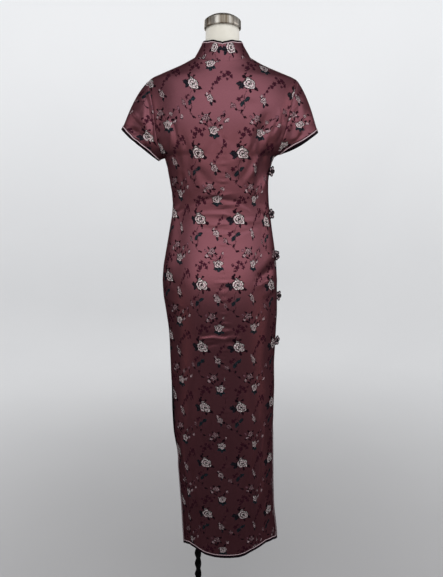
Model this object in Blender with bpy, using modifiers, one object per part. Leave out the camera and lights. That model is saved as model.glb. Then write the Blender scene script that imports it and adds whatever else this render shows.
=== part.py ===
# Cheongsam dress on a limbless dress form with a twisted iron pole.
# Metres, +Z up. The floor is z = 0, the dress front faces -Y and the
# wearer's left side is +X. Tables are written in millimetres.
import math

import bmesh
import bpy
import numpy as np
from mathutils import Matrix, Vector

MM = 0.001
OBJECT = "cheongsam_dress"

# ------------------------------------------------------------ cloth sizes, mm
WALL = 1.2             # thickness of every cloth panel
SEAM = 0.30            # air between two pieces at a seam
TRIM_LIFT = 0.30       # air between a panel and the binding that lies on it
TRIM_THICK = 0.8       # thickness of the satin binding
TRIM_WIDE = 7.0        # width of the satin binding on slits, hem and opening
BUST_Z = 1358.0        # level of the two armpits
TIP_Z = 1549.0         # outer end of the shoulder seam
NECK_SIDE_Z = 1602.0   # inner end of the shoulder seam
NAPE_Z = 1578.0        # neckline at the centre back
THROAT_Z = 1535.0      # neckline at the centre front
LEFT_SLIT_Z = 761.0    # top of the slit on the wearer's left
RIGHT_SLIT_Z = 654.0   # top of the slit on the wearer's right
UNDERLAP_DROP = 3.4    # how far the underlap sinks where the front covers it

# ------------------------------------------------------- sections of the dress
# height, half width, centre shift (+X), depth behind, depth in front, roundness
SECTIONS = np.array((
    (230.0, 137.0, -25.5, 91.0, 86.0, 2.05),
    (293.0, 136.4, -21.8, 92.0, 86.0, 2.10),
    (370.0, 133.4, -16.0, 95.0, 87.0, 2.20),
    (447.0, 134.0, -11.8, 97.0, 88.0, 2.30),
    (522.0, 135.5, -8.5, 98.0, 90.0, 2.35),
    (596.0, 141.0, -2.1, 100.0, 92.0, 2.35),
    (669.0, 143.3, -1.1, 103.0, 94.0, 2.35),
    (740.0, 143.7, -1.7, 105.0, 96.0, 2.30),
    (811.0, 143.4, -0.3, 108.0, 98.0, 2.30),
    (880.0, 145.8, -0.6, 112.0, 101.0, 2.25),
    (914.0, 147.4, 0.0, 114.0, 103.0, 2.25),
    (948.0, 150.6, 1.6, 116.0, 105.0, 2.25),
    (998.0, 154.0, 5.5, 117.5, 107.0, 2.25),
    (1040.0, 154.6, 6.9, 115.0, 108.0, 2.25),
    (1080.0, 151.5, 6.5, 107.0, 108.0, 2.25),
    (1113.0, 146.5, 5.4, 97.0, 105.0, 2.25),
    (1145.0, 141.0, 4.8, 87.0, 100.0, 2.30),
    (1177.0, 135.6, 4.4, 78.0, 95.0, 2.30),
    (1209.0, 130.4, 3.7, 72.0, 91.0, 2.30),
    (1240.0, 126.6, 4.4, 70.5, 92.0, 2.30),
    (1271.0, 126.7, 6.3, 75.0, 98.0, 2.30),
    (1302.0, 129.0, 8.9, 81.0, 107.0, 2.30),
    (1333.0, 134.0, 9.2, 88.0, 114.0, 2.30),
    (1358.0, 142.0, 8.0, 92.0, 117.0, 2.30),
    (1370.0, 159.0, 7.5, 94.0, 118.0, 2.30),
    (1385.0, 170.0, 7.0, 96.0, 117.0, 2.30),
    (1402.0, 178.0, 6.3, 98.0, 114.0, 2.30),
    (1430.0, 185.0, 5.0, 100.0, 108.0, 2.30),
    (1470.0, 187.0, 2.8, 98.0, 97.0, 2.30),
    (1510.0, 188.0, 0.4, 92.0, 80.0, 2.15),
    (1535.0, 188.6, -0.9, 84.0, 64.0, 1.95),
    (1549.0, 188.0, -1.4, 78.0, 55.0, 1.75),
    (1556.0, 177.0, -0.2, 75.0, 52.0, 1.62),
    (1570.0, 143.2, 1.0, 69.0, 48.0, 1.50),
    (1585.0, 105.0, 0.8, 64.0, 46.0, 1.55),
    (1599.0, 76.0, 0.0, 60.0, 45.0, 1.75),
    (1612.0, 52.0, 0.0, 57.0, 44.0, 1.90),
))
Z, HALF, SHIFT, BACK, FRONT, ROUND = range(6)

# height, edge of the back armhole, edge of the front armhole
# (each a share of the section's half width at that height)
ARMHOLE = np.array((
    (1358.0, 1.000, 1.000),
    (1366.0, 0.950, 0.940),
    (1380.0, 0.905, 0.885),
    (1402.0, 0.878, 0.850),
    (1430.0, 0.880, 0.838),
    (1470.0, 0.908, 0.862),
    (1505.0, 0.945, 0.915),
    (1525.0, 0.975, 0.958),
    (1535.0, 0.988, 0.978),
    (1549.0, 1.000, 1.000),
))
ARM_BACK, ARM_FRONT = 1, 2

# height, slanted opening, hidden inner edge of the underlap
# (each a share of the way round the front from the left side)
OPENING = np.array((
    (1342.0, 1.000, 0.900),
    (1348.0, 0.930, 0.870),
    (1355.0, 0.875, 0.830),
    (1366.0, 0.820, 0.775),
    (1380.0, 0.775, 0.715),
    (1402.0, 0.725, 0.655),
    (1430.0, 0.675, 0.605),
    (1470.0, 0.612, 0.542),
    (1505.0, 0.558, 0.495),
    (1525.0, 0.524, 0.468),
    (1535.0, 0.500, 0.450),
))
SLANT, INNER = 1, 2

# height, X of the centre back seam
CENTRE_BACK = ((230.0, -12.8), (700.0, -7.5), (1200.0, -1.6), (1578.0, 0.0))

# share of the way round (0 left seam, .25 back, .5 right seam, .75 front), hem height
HEM = ((0.0, 249.0), (0.035, 265.0), (0.075, 278.0), (0.105, 277.0), (0.15, 267.0),
       (0.19, 265.0), (0.25, 266.0), (0.285, 267.0), (0.307, 271.0), (0.33, 279.0),
       (0.36, 286.0), (0.395, 293.0), (0.44, 287.0), (0.5, 264.0), (0.57, 262.0),
       (0.75, 268.0), (0.93, 260.0), (1.0, 249.0))

# height, how far the back panel's left slit edge draws in
LEFT_DRAW = ((500.0, 0.0), (560.0, 5.0), (610.0, 9.0), (660.0, 10.5), (710.0, 8.0),
             (740.0, 4.0), (761.0, 0.0))

# largest folds: side (+1 back, -1 front), X and height at each end, width, depth
FOLDS = (
    (1.0, -106.0, 1440.0, -100.0, 1300.0, 15.0, -5.0),
    (1.0, -128.0, 1418.0, -118.0, 1330.0, 12.0, 3.5),
    (1.0, -142.0, 1085.0, -96.0, 1052.0, 20.0, -5.0),
    (1.0, 112.0, 560.0, 86.0, 420.0, 18.0, 5.0),
    (1.0, -124.0, 585.0, -92.0, 360.0, 20.0, 5.5),
    (1.0, 20.0, 640.0, 36.0, 330.0, 24.0, -4.0),
    (1.0, -52.0, 520.0, -58.0, 290.0, 20.0, -4.0),
    (-1.0, 96.0, 620.0, 72.0, 300.0, 22.0, -5.0),
    (-1.0, -84.0, 560.0, -98.0, 280.0, 22.0, -5.0),
    (-1.0, -8.0, 480.0, -20.0, 270.0, 24.0, 4.5),
    (-1.0, 112.0, 1430.0, 92.0, 1330.0, 14.0, -4.0),
)

# levels of the panel rows, as a share of the way from armpit to hem
LOWER_ROWS = (0.0, 0.028, 0.058, 0.088, 0.118, 0.150, 0.184, 0.220, 0.256, 0.292,
              0.330, 0.372, 0.418, 0.4645, 0.5010, 0.5388, 0.5740, 0.6100, 0.6447,
              0.6850, 0.7300, 0.7800, 0.8350, 0.8950, 0.9500, None, 1.0)
UPPER_ROWS = (0.04, 0.115, 0.23, 0.377, 0.545, 0.717, 0.848, 0.932, 0.979, 1.0)
LEFT_SLIT_ROW = 15
RIGHT_SLIT_ROW = 18
BACK_COLUMNS = 8       # wide columns of one back half
FRONT_COLUMNS = 14     # wide columns of the front
UNDERLAP_COLUMNS = 7
OPENING_END_Z = 1342.0  # where the slanted opening meets the right side

# ------------------------------------------------------------------- sleeves
# side, cuff bottom X and height, cuff top X and height, half depth, bulge, sag
SLEEVES = (
    ("sleeve_left", 1.0, 167.0, 1351.0, 259.0, 1429.0, 37.0, 9.0, 3.0),
    ("sleeve_right", -1.0, -152.0, 1370.0, -246.0, 1421.0, 38.0, 8.0, 6.0),
)
SLEEVE_ROWS = (0.0, 0.14, 0.30, 0.47, 0.64, 0.80, None, 1.0)

# -------------------------------------------------------------------- collar
COLLAR_HALF_TOP = 48.5
COLLAR_TALL = 39.0
COLLAR_THICK = 1.6
COLLAR_ROWS = 4

# --------------------------------------------------------------------- frogs
FROG_REACH = 13.5      # petal tip from the knot
FROG_CORD = 3.0        # height of the corded petals
FROG_KNOT = 5.0        # radius of the knot
SIDE_FROGS = (1324.0, 1213.0, 1104.0, 995.0, 870.0)
# share round the front and height of the two frogs on the slanted opening
FRONT_FROGS = (("frog_throat", 0.545, 1516.0), ("frog_slant", 0.690, 1420.0))

# ------------------------------------------------------------ form and stand
# height, half width, centre shift, depth behind, depth in front, roundness
FORM = (
    (852.0, 118.0, 0.0, 87.0, 72.0, 2.2),
    (855.0, 124.0, 0.0, 92.5, 78.0, 2.2),
    (866.0, 130.0, 0.0, 97.5, 84.0, 2.2),
    (890.0, 136.5, 0.0, 103.0, 92.0, 2.2),
    (930.0, 141.5, 1.0, 105.5, 96.0, 2.2),
    (980.0, 146.0, 4.0, 108.0, 99.0, 2.2),
    (1030.0, 147.5, 6.5, 106.5, 100.0, 2.2),
    (1080.0, 143.5, 6.3, 98.0, 98.0, 2.2),
    (1125.0, 136.0, 5.0, 84.0, 92.0, 2.2),
    (1170.0, 128.0, 4.4, 71.5, 86.0, 2.2),
    (1210.0, 121.5, 3.9, 64.0, 82.0, 2.2),
    (1250.0, 118.5, 5.0, 63.5, 85.0, 2.2),
    (1300.0, 121.0, 8.4, 73.5, 96.0, 2.2),
    (1340.0, 127.5, 8.6, 82.0, 105.0, 2.2),
    (1370.0, 133.5, 7.6, 87.0, 107.0, 2.25),
    (1405.0, 141.0, 6.0, 91.0, 102.0, 2.3),
    (1445.0, 149.0, 4.0, 92.0, 93.0, 2.35),
    (1485.0, 156.0, 1.8, 88.5, 80.0, 2.35),
    (1515.0, 161.0, 0.0, 83.0, 68.0, 2.2),
    (1538.0, 163.0, -0.9, 76.0, 56.0, 1.95),
    (1552.0, 158.6, -0.8, 70.0, 46.0, 1.70),
    (1562.0, 152.4, 0.0, 65.5, 41.5, 1.48),
    (1572.0, 132.8, 1.0, 60.0, 37.0, 1.30),
    (1584.0, 102.2, 0.7, 54.0, 33.5, 1.28),
    (1595.0, 75.5, 0.0, 49.0, 31.5, 1.35),
    (1604.0, 57.0, 0.0, 48.0, 32.5, 1.60),
    (1614.0, 49.5, 0.0, 48.0, 34.5, 1.90),
    (1628.0, 44.0, 0.0, 46.5, 35.0, 2.0),
    (1644.0, 42.5, 0.0, 45.5, 35.5, 2.0),
    (1669.0, 42.0, 0.0, 45.5, 35.5, 2.0),
)
FORM_AROUND = 28
# radius and height of the neck cap's profile
CAP = ((0.0, 1669.3), (45.0, 1669.3), (46.2, 1671.0), (46.2, 1686.0), (45.0, 1688.5),
       (37.0, 1694.5), (24.0, 1700.0), (11.0, 1703.0), (0.0, 1704.0))
CAP_Y = 4.2
POLE_X = 73.0
POLE_RADIUS = 8.0
POLE_LOBE = 2.0
POLE_PITCH = 70.0
POLE_TWIST_TOP = 432.0
POLE_PLAIN_RADIUS = 8.0
BASE_RADIUS = 135.0
BASE_TALL = 12.0
EPS = 0.2


# ---------------------------------------------------------------- mathematics
def spline(table, column, height):
    """Smooth reading of one column of a table at the given heights."""
    level = table[:, 0]
    value = table[:, column]
    slope = np.gradient(value, level)
    height = np.asarray(height, float)
    i = np.clip(np.searchsorted(level, height) - 1, 0, len(level) - 2)
    span = level[i + 1] - level[i]
    t = np.clip((height - level[i]) / span, 0.0, 1.0)
    h00 = 2 * t ** 3 - 3 * t ** 2 + 1
    h10 = t ** 3 - 2 * t ** 2 + t
    h01 = -2 * t ** 3 + 3 * t ** 2
    h11 = t ** 3 - t ** 2
    return (h00 * value[i] + h10 * span * slope[i]
            + h01 * value[i + 1] + h11 * span * slope[i + 1])


def linear(table, column, height):
    """Straight reading of one column of a table at the given heights."""
    return np.interp(height, table[:, 0], table[:, column])


def smooth(t):
    t = np.clip(t, 0.0, 1.0)
    return t * t * (3.0 - 2.0 * t)


def centre_back(height):
    rows = np.array(CENTRE_BACK)
    return np.interp(height, rows[:, 0], rows[:, 1])


def half_width(height):
    return linear(SECTIONS, HALF, height)


def fold_lift(side, x, z):
    """Height of the large folds at X and height z on one side of the dress."""
    lift = np.zeros(np.broadcast(x, z).shape)
    for fold_side, x0, z0, x1, z1, wide, deep in FOLDS:
        if fold_side != side:
            continue
        length = math.hypot(x1 - x0, z1 - z0)
        ux = (x1 - x0) / length
        uz = (z1 - z0) / length
        along = ((x - x0) * ux + (z - z0) * uz) / length
        across = (x - x0) * -uz + (z - z0) * ux
        ends = smooth((along + 0.25) / 0.45) * smooth((1.25 - along) / 0.45)
        lift = lift + deep * np.exp(-(across / wide) ** 2) * ends
    return lift


def depth(side, x, z):
    """Distance of the cloth from the X-Z plane, signed towards its side."""
    across = np.abs(x - spline(SECTIONS, SHIFT, z)) / half_width(z)
    power = spline(SECTIONS, ROUND, z)
    reach = spline(SECTIONS, BACK if side > 0 else FRONT, z)
    open_share = np.clip(1.0 - np.clip(across, 0.0, 1.0) ** power, 0.0, 1.0)
    y = reach * open_share ** (1.0 / power)
    y = y + fold_lift(side, x, z) * smooth(y / 30.0)
    return side * y


def ring_point(side, share, z):
    """Point on the section at height z; share runs 0 to 1 from the left seam
    to the right seam along the back (side 1) or along the front (side -1)."""
    share = np.asarray(share, float)
    z = np.asarray(z, float)
    share, z = np.broadcast_arrays(share, z)
    turn = np.linspace(0.0, math.pi, 241)
    power = spline(SECTIONS, ROUND, z)[..., None]
    cosine = np.cos(turn)
    sine = np.sin(turn)
    half = half_width(z)[..., None]
    reach = spline(SECTIONS, BACK if side > 0 else FRONT, z)[..., None]
    x = half * np.sign(cosine) * np.abs(cosine) ** (2.0 / power)
    y = reach * np.abs(sine) ** (2.0 / power)
    step = np.hypot(np.diff(x, axis=-1), np.diff(y, axis=-1))
    run = np.concatenate([np.zeros(step.shape[:-1] + (1,)), np.cumsum(step, axis=-1)], -1)
    run = run / run[..., -1:]
    px = np.empty(share.shape)
    for index in np.ndindex(share.shape):
        px[index] = np.interp(share[index], run[index], x[index])
    qy = np.empty(share.shape)
    for index in np.ndindex(share.shape):
        qy[index] = np.interp(share[index], run[index], y[index])
    px = px + spline(SECTIONS, SHIFT, z)
    qy = qy + fold_lift(side, px, z) * smooth(qy / 30.0)
    return px, side * qy


def ring_length(side, z):
    turn = np.linspace(0.0, math.pi, 241)
    power = float(spline(SECTIONS, ROUND, z))
    reach = float(spline(SECTIONS, BACK if side > 0 else FRONT, z))
    x = float(half_width(z)) * np.sign(np.cos(turn)) * np.abs(np.cos(turn)) ** (2.0 / power)
    y = reach * np.abs(np.sin(turn)) ** (2.0 / power)
    return float(np.hypot(np.diff(x), np.diff(y)).sum())


def centre_share(z):
    """Share of the back half section at which the centre back seam lies."""
    shares = np.linspace(0.35, 0.65, 61)
    x, _ = ring_point(1.0, shares, np.full(61, float(z)))
    return float(np.interp(-centre_back(z), -x, shares))


def hem_height(side, share):
    rows = np.array(HEM)
    turn = share * 0.5 if side > 0 else 1.0 - share * 0.5
    return np.interp(turn, rows[:, 0], rows[:, 1])


def slit_open(side, share, x, y, z):
    """Let the slit edges part: the back's left edge draws in, both move apart."""
    rows = np.array(LEFT_DRAW)
    left = np.exp(-(share / 0.10) ** 2)
    right = np.exp(-((1.0 - share) / 0.10) ** 2)
    if side > 0:
        x = x - np.interp(z, rows[:, 0], rows[:, 1]) * left
    parted = 5.0 * smooth((LEFT_SLIT_Z - z) / 130.0) * left
    parted = parted + 4.0 * smooth((RIGHT_SLIT_Z - z) / 130.0) * right
    y = y + side * parted
    return x, y


def lower_point(side, share, level):
    """Cloth below the armpits: share across the side, level 0 top to 1 hem."""
    z = BUST_Z - (BUST_Z - hem_height(side, share)) * level
    x, y = ring_point(side, share, z)
    x, y = slit_open(side, share, x, y, z)
    return np.stack([x, y, z], -1)


def lift_normals(point, share, level, side):
    """Outward unit normals of a panel function from small steps."""
    step = 0.004
    s0 = np.clip(share - step, 0.0, 1.0)
    s1 = np.clip(share + step, 0.0, 1.0)
    v0 = np.clip(level - step, 0.0, 1.0)
    v1 = np.clip(level + step, 0.0, 1.0)
    across = point(s1, level) - point(s0, level)
    down = point(share, v1) - point(share, v0)
    normal = np.cross(across, down)
    normal = normal / np.maximum(np.linalg.norm(normal, axis=-1, keepdims=True), 1e-9)
    flip = np.sign(np.sum(normal * point(share, level) * (1.0, 1.0, 0.0), -1, keepdims=True))
    return normal * np.where(flip == 0.0, 1.0, flip)


def ridge_x(hand, z):
    return spline(SECTIONS, SHIFT, z) + hand * half_width(z)


def neck_back(x):
    half = float(abs(ridge_x(1.0, NECK_SIDE_Z)))
    return NAPE_Z + (NECK_SIDE_Z - NAPE_Z) * np.abs(x / half) ** 2.2


def neck_front(x):
    half = float(abs(ridge_x(1.0, NECK_SIDE_Z)))
    t = np.clip(np.abs(x) / half, 0.0, 1.0)
    return THROAT_Z + (NECK_SIDE_Z - THROAT_Z) * (1.0 - (1.0 - t ** 2.3) ** (1.0 / 2.0))


def coons(bottom, top, first, last, u, v):
    """Fill between four edge curves given as arrays in the X-Z plane."""
    u = u[:, None, None]
    v = v[None, :, None]
    ruled = (1 - v) * bottom[:, None] + v * top[:, None]
    ruled = ruled + (1 - u) * first[None] + u * last[None]
    corner = (1 - u) * (1 - v) * bottom[0] + u * (1 - v) * bottom[-1]
    corner = corner + (1 - u) * v * top[0] + u * v * top[-1]
    return ruled - corner


def share_of(side, x, z):
    """Share round the section at which the given X lies."""
    shares = np.linspace(0.0, 1.0, 201)
    out = []
    for one_x, one_z in zip(np.atleast_1d(x), np.atleast_1d(z)):
        along, _ = ring_point(side, shares, np.full(201, float(one_z)))
        out.append(float(np.interp(-one_x, -along, shares)))
    return np.array(out)


def armhole_curve(side, hand, column, heights):
    x = spline(SECTIONS, SHIFT, heights) + hand * linear(ARMHOLE, column, heights) * half_width(heights)
    share = share_of(side, x, heights)
    share = np.where(linear(ARMHOLE, column, heights) >= 1.0, 0.0 if hand > 0 else 1.0, share)
    return np.stack([share, heights], -1)


def opening_curve(column, heights):
    return np.stack([linear(OPENING, column, heights), heights], -1)


def top_curve(side, hand, shoulder, neck, end_x, last=None):
    """Shoulder seam from the tip to the neck, then the neckline to end_x."""
    z = np.linspace(TIP_Z, NECK_SIDE_Z, shoulder + 1)
    ridge = np.stack([np.full(shoulder + 1, 0.0 if hand > 0 else 1.0), z], -1)
    start = float(ridge_x(hand, NECK_SIDE_Z))
    turn = np.linspace(0.0, math.pi / 2.0, 241)
    x = start + (end_x - start) * (1.0 - np.cos(turn))
    rise = neck_back(x) if side > 0 else neck_front(x)
    y = depth(side, x, rise)
    step = np.sqrt(np.diff(x) ** 2 + np.diff(y) ** 2 + np.diff(rise) ** 2)
    run = np.concatenate([[0.0], np.cumsum(step)])
    share = np.linspace(0.0, 1.0, neck + 1)[1:]
    if last is not None:
        share = np.append(np.linspace(0.0, 1.0 - last / run[-1], neck)[1:], 1.0)
    nx = np.interp(share * run[-1], run, x)
    nz = neck_back(nx) if side > 0 else neck_front(nx)
    return np.concatenate([ridge, np.stack([share_of(side, nx, nz), nz], -1)])


def settle(points, side):
    """Keep both sides of a seam clear of the X-Z plane."""
    y = points[..., 1]
    points[..., 1] = np.where(np.abs(y) < EPS, side * EPS, y)
    return points


def grid_normals(points):
    """Unit normals of a grid of points from its neighbours."""
    a = np.gradient(points, axis=0)
    b = np.gradient(points, axis=1)
    normal = np.cross(a, b)
    normal = normal / np.maximum(np.linalg.norm(normal, axis=-1, keepdims=True), 1e-9)
    return normal


def lower_rows():
    """Row levels, the last narrow one holding the hem binding."""
    rows = [r for r in LOWER_ROWS if r is not None]
    narrow = 1.0 - TRIM_WIDE / (BUST_Z - 262.0)
    return np.array(rows[:-1] + [narrow, 1.0])


def shares_at(side, level, columns, start, end, narrow_start, narrow_end):
    """Column shares of a panel at one level, with narrow edge columns."""
    z = BUST_Z - (BUST_Z - 262.0) * level
    length = ring_length(side, z)
    inner_start = start + (TRIM_WIDE / length if narrow_start else 0.0)
    inner_end = end - (TRIM_WIDE / length if narrow_end else 0.0)
    middle = np.linspace(inner_start, inner_end, columns + 1)
    out = list(middle)
    if narrow_start:
        out.insert(0, start)
    if narrow_end:
        out.append(end)
    return np.array(out)


def lower_grid(side, levels, columns, span, narrow_start, narrow_end):
    """Points and normals of the cloth below the armpits; span gives the first
    and last share for a level."""
    points = []
    normals = []
    for level in levels:
        start, end = span(level)
        shares = shares_at(side, level, columns, start, end, narrow_start, narrow_end)
        lv = np.full(shares.shape, level)
        points.append(lower_point(side, shares, lv))
        normals.append(lift_normals(lambda s, v: lower_point(side, s, v), shares, lv, side))
    points = np.array(points)
    normals = np.array(normals)
    return points, normals


def seam_normals(points, normals):
    """Flatten the normals of points on the side or shoulder seams."""
    near = np.abs(points[..., 1]) < 1.0
    normals[..., 1] = np.where(near, 0.0, normals[..., 1])
    return normals / np.linalg.norm(normals, axis=-1, keepdims=True)


def body_point(side, share, z):
    x, y = ring_point(side, share, z)
    return np.stack([x, y, np.asarray(z, float) + 0.0 * x], -1)


def upper_fill(side, flat):
    """Raise a patch given as share and height on to the body, with normals."""
    share = flat[..., 0]
    z = flat[..., 1]
    points = body_point(side, share, z)
    around = body_point(side, np.clip(share + 0.004, 0, 1), z)
    around = around - body_point(side, np.clip(share - 0.004, 0, 1), z)
    up = body_point(side, share, z + 0.8) - body_point(side, share, z - 0.8)
    normals = np.cross(around, up) * side
    normals = normals / np.linalg.norm(normals, axis=-1, keepdims=True)
    return points, normals


# ------------------------------------------------------------------- panels
def back_half(hand):
    """Grid of one back half, rows from hem to shoulder, columns from the side
    seam to the centre back."""
    levels = lower_rows()
    if hand > 0:
        def span(level):
            z = BUST_Z - (BUST_Z - 262.0) * level
            return 0.0, centre_share(z)
        points, normals = lower_grid(1.0, levels, BACK_COLUMNS, span, True, False)
    else:
        def span(level):
            z = BUST_Z - (BUST_Z - 262.0) * level
            return centre_share(z), 1.0
        points, normals = lower_grid(1.0, levels, BACK_COLUMNS, span, False, True)
        points = points[:, ::-1]
        normals = normals[:, ::-1]
    start, end = span(0.0)
    shares = shares_at(1.0, 0.0, BACK_COLUMNS, start, end, hand > 0, hand < 0)
    if hand < 0:
        shares = shares[::-1]
    bottom = np.stack([shares, np.full(shares.shape, BUST_Z)], -1)
    v = np.array((0.0,) + UPPER_ROWS)
    arm = armhole_curve(1.0, hand, ARM_BACK, BUST_Z + (TIP_Z - BUST_Z) * v)
    z = BUST_Z + (NAPE_Z - BUST_Z) * v
    middle = np.stack([np.array([centre_share(one) for one in z]), z], -1)
    count = len(shares) - 1
    neck = 4
    top = top_curve(1.0, hand, count - neck, neck, 0.0)
    top[-1] = middle[-1]
    u = np.abs(shares - shares[0]) / abs(shares[-1] - shares[0])
    flat = coons(bottom, top, arm, middle, u, v)
    flat[:, -1] = top
    up_points, up_normals = upper_fill(1.0, flat)
    up_points = np.swapaxes(up_points, 0, 1)[1:]
    up_normals = np.swapaxes(up_normals, 0, 1)[1:]
    points = np.concatenate([points[::-1], up_points])
    normals = np.concatenate([normals[::-1], up_normals])
    points = settle(points, 1.0)
    normals = seam_normals(points, normals)
    points[:, -1, 0] += hand * SEAM / 2.0
    return points, normals


def front_whole():
    """Grid of the front, rows from hem up, columns from the left seam to the
    right seam; above the armpits its right edge is the slanted opening."""
    levels = lower_rows()
    points, normals = lower_grid(-1.0, levels, FRONT_COLUMNS, lambda level: (0.0, 1.0), True, True)
    shares = shares_at(-1.0, 0.0, FRONT_COLUMNS, 0.0, 1.0, True, True)
    dip = (BUST_Z - OPENING_END_Z) / (BUST_Z - 265.0) * np.exp(-((1.0 - shares) / 0.16) ** 2)
    points[0] = lower_point(-1.0, shares, dip)
    normals[0] = lift_normals(lambda s, v: lower_point(-1.0, s, v), shares, dip, -1.0)
    bottom = np.stack([shares, points[0][:, 2]], -1)
    v = np.array((0.0,) + UPPER_ROWS)
    arm = armhole_curve(-1.0, 1.0, ARM_FRONT, BUST_Z + (TIP_Z - BUST_Z) * v)
    slant = opening_curve(SLANT, OPENING_END_Z + (THROAT_Z - OPENING_END_Z) * v)
    slant[0] = bottom[-1]
    count = len(shares) - 1
    neck = 12
    top = top_curve(-1.0, 1.0, count - neck, neck, 0.0, last=TRIM_WIDE)
    slant[-1] = top[-1]
    flat = coons(bottom, top, arm, slant, shares, v)
    flat[:, -1] = top
    up_points, up_normals = upper_fill(-1.0, flat)
    up_points = np.swapaxes(up_points, 0, 1)[1:]
    up_normals = np.swapaxes(up_normals, 0, 1)[1:]
    points = np.concatenate([points[::-1], up_points])
    normals = np.concatenate([normals[::-1], up_normals])
    points = settle(points, -1.0)
    normals = seam_normals(points, normals)
    return points, normals


def underlap(front):
    """Grid of the underlap: a strip down the right side made from the front's
    own points, and the right front shoulder shown above the slanted opening."""
    front_points, front_normals = front
    hem_rows = len(lower_rows())
    first = hem_rows - 1 - RIGHT_SLIT_ROW
    last = front_points.shape[1] - 1
    places = (last, last - 1, last - 4 / 3, last - 5 / 3, last - 2, last - 7 / 3,
              last - 8 / 3, last - 3)
    points = []
    normals = []
    for row in range(hem_rows - 1, first - 1, -1):
        index = np.arange(last + 1.0)
        line = np.stack([np.interp(places, index, front_points[row, :, k]) for k in range(3)], -1)
        tilt = np.stack([np.interp(places, index, front_normals[row, :, k]) for k in range(3)], -1)
        points.append(line)
        normals.append(tilt / np.linalg.norm(tilt, axis=-1, keepdims=True))
    points = np.array(points)
    normals = np.array(normals)
    sink = np.full(points.shape[:2], WALL + SEAM + 0.45)
    sink[1] = 2.5
    sink[0] = 3.2
    shares = np.array([1.0 - d / ring_length(-1.0, BUST_Z) for d in
                       np.linspace(0.0, 60.0, UNDERLAP_COLUMNS + 1)])
    dip = 0.0 * shares
    points[0] = lower_point(-1.0, shares, dip)
    normals[0] = lift_normals(lambda s, v: lower_point(-1.0, s, v), shares, dip, -1.0)
    bottom = np.stack([shares, np.full(shares.shape, BUST_Z)], -1)
    v = np.array((0.0,) + UPPER_ROWS)
    arm = armhole_curve(-1.0, -1.0, ARM_FRONT, BUST_Z + (TIP_Z - BUST_Z) * v)
    inner = opening_curve(INNER, BUST_Z + (THROAT_Z - BUST_Z) * v)
    inner[0] = bottom[-1]
    end_x, _ = ring_point(-1.0, inner[-1:, 0], inner[-1:, 1])
    top = top_curve(-1.0, -1.0, 3, UNDERLAP_COLUMNS - 3, float(end_x[0]))
    inner[-1] = top[-1]
    u = np.linspace(0.0, 1.0, UNDERLAP_COLUMNS + 1)
    flat = coons(bottom, top, arm, inner, u, v)
    flat[:, -1] = top
    up_points, up_normals = upper_fill(-1.0, flat)
    share = flat[..., 0]
    z = flat[..., 1]
    girth = np.array([[ring_length(-1.0, one) for one in line] for line in z])
    shown = (share - linear(OPENING, SLANT, z)) * girth
    up_sink = UNDERLAP_DROP * (1.0 - smooth((shown - 2.0) / 26.0))
    up_points = np.swapaxes(up_points, 0, 1)[1:]
    up_normals = np.swapaxes(up_normals, 0, 1)[1:]
    up_sink = np.swapaxes(up_sink, 0, 1)[1:]
    points = np.concatenate([points[::-1], up_points])
    normals = np.concatenate([normals[::-1], up_normals])
    sink = np.concatenate([sink[::-1], up_sink])
    points = settle(points, -1.0)
    normals = seam_normals(points, normals)
    points = points - normals * sink[..., None]
    return points, normals


# --------------------------------------------------------------- mesh makers
def new_object(name, verts, faces, material, round_piece=True):
    mesh = bpy.data.meshes.new(name)
    mesh.from_pydata([tuple(float(c) * MM for c in v) for v in verts], [], faces)
    mesh.validate()
    bm = bmesh.new()
    bm.from_mesh(mesh)
    bmesh.ops.recalc_face_normals(bm, faces=bm.faces)
    if bm.calc_volume(signed=True) < 0.0:
        bmesh.ops.reverse_faces(bm, faces=bm.faces)
    bm.to_mesh(mesh)
    bm.free()
    for polygon in mesh.polygons:
        polygon.use_smooth = round_piece
    mesh.set_sharp_from_angle(angle=math.radians(50.0))
    obj = bpy.data.objects.new(name, mesh)
    obj.data.materials.append(material)
    home.objects.link(obj)
    return obj


def slab(name, outer, inner, material, keep=None, guide=None):
    """Closed solid between two grids of points; keep picks the cells used and
    guide is the grid whose shorter diagonals split the cells."""
    guide = outer if guide is None else guide
    rows, columns = outer.shape[:2]
    cells = []
    for i in range(rows - 1):
        for j in range(columns - 1):
            if keep is None or keep(i, j):
                cells.append((i, j))
    used = {}
    verts = []

    def vertex(skin, i, j):
        key = (skin, i, j)
        if key not in used:
            used[key] = len(verts)
            verts.append((outer if skin == 0 else inner)[i, j])
        return used[key]

    faces = []
    edges = {}
    for i, j in cells:
        loop = ((i, j), (i, j + 1), (i + 1, j + 1), (i + 1, j))
        first = np.linalg.norm(guide[loop[0]] - guide[loop[2]])
        second = np.linalg.norm(guide[loop[1]] - guide[loop[3]])
        halves = (loop[:3], loop[2:] + loop[:1])
        if second < first:
            halves = (loop[1:], loop[3:] + loop[:2])
        for tri in halves:
            faces.append([vertex(0, *p) for p in tri])
            faces.append([vertex(1, *p) for p in reversed(tri)])
        for a, b in zip(loop, loop[1:] + loop[:1]):
            if (b, a) in edges:
                del edges[(b, a)]
            else:
                edges[(a, b)] = True
    for a, b in edges:
        faces.append([vertex(0, *b), vertex(0, *a), vertex(1, *a), vertex(1, *b)])
    return new_object(name, verts, faces, material)


def panel(name, grid, material):
    points, normals = grid
    return slab(name, points, points - normals * WALL, material)


def binding(name, grid, material, keep):
    points, normals = grid
    low = points + normals * TRIM_LIFT
    high = points + normals * (TRIM_LIFT + TRIM_THICK)
    return slab(name, high, low, material, keep, points)


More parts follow.
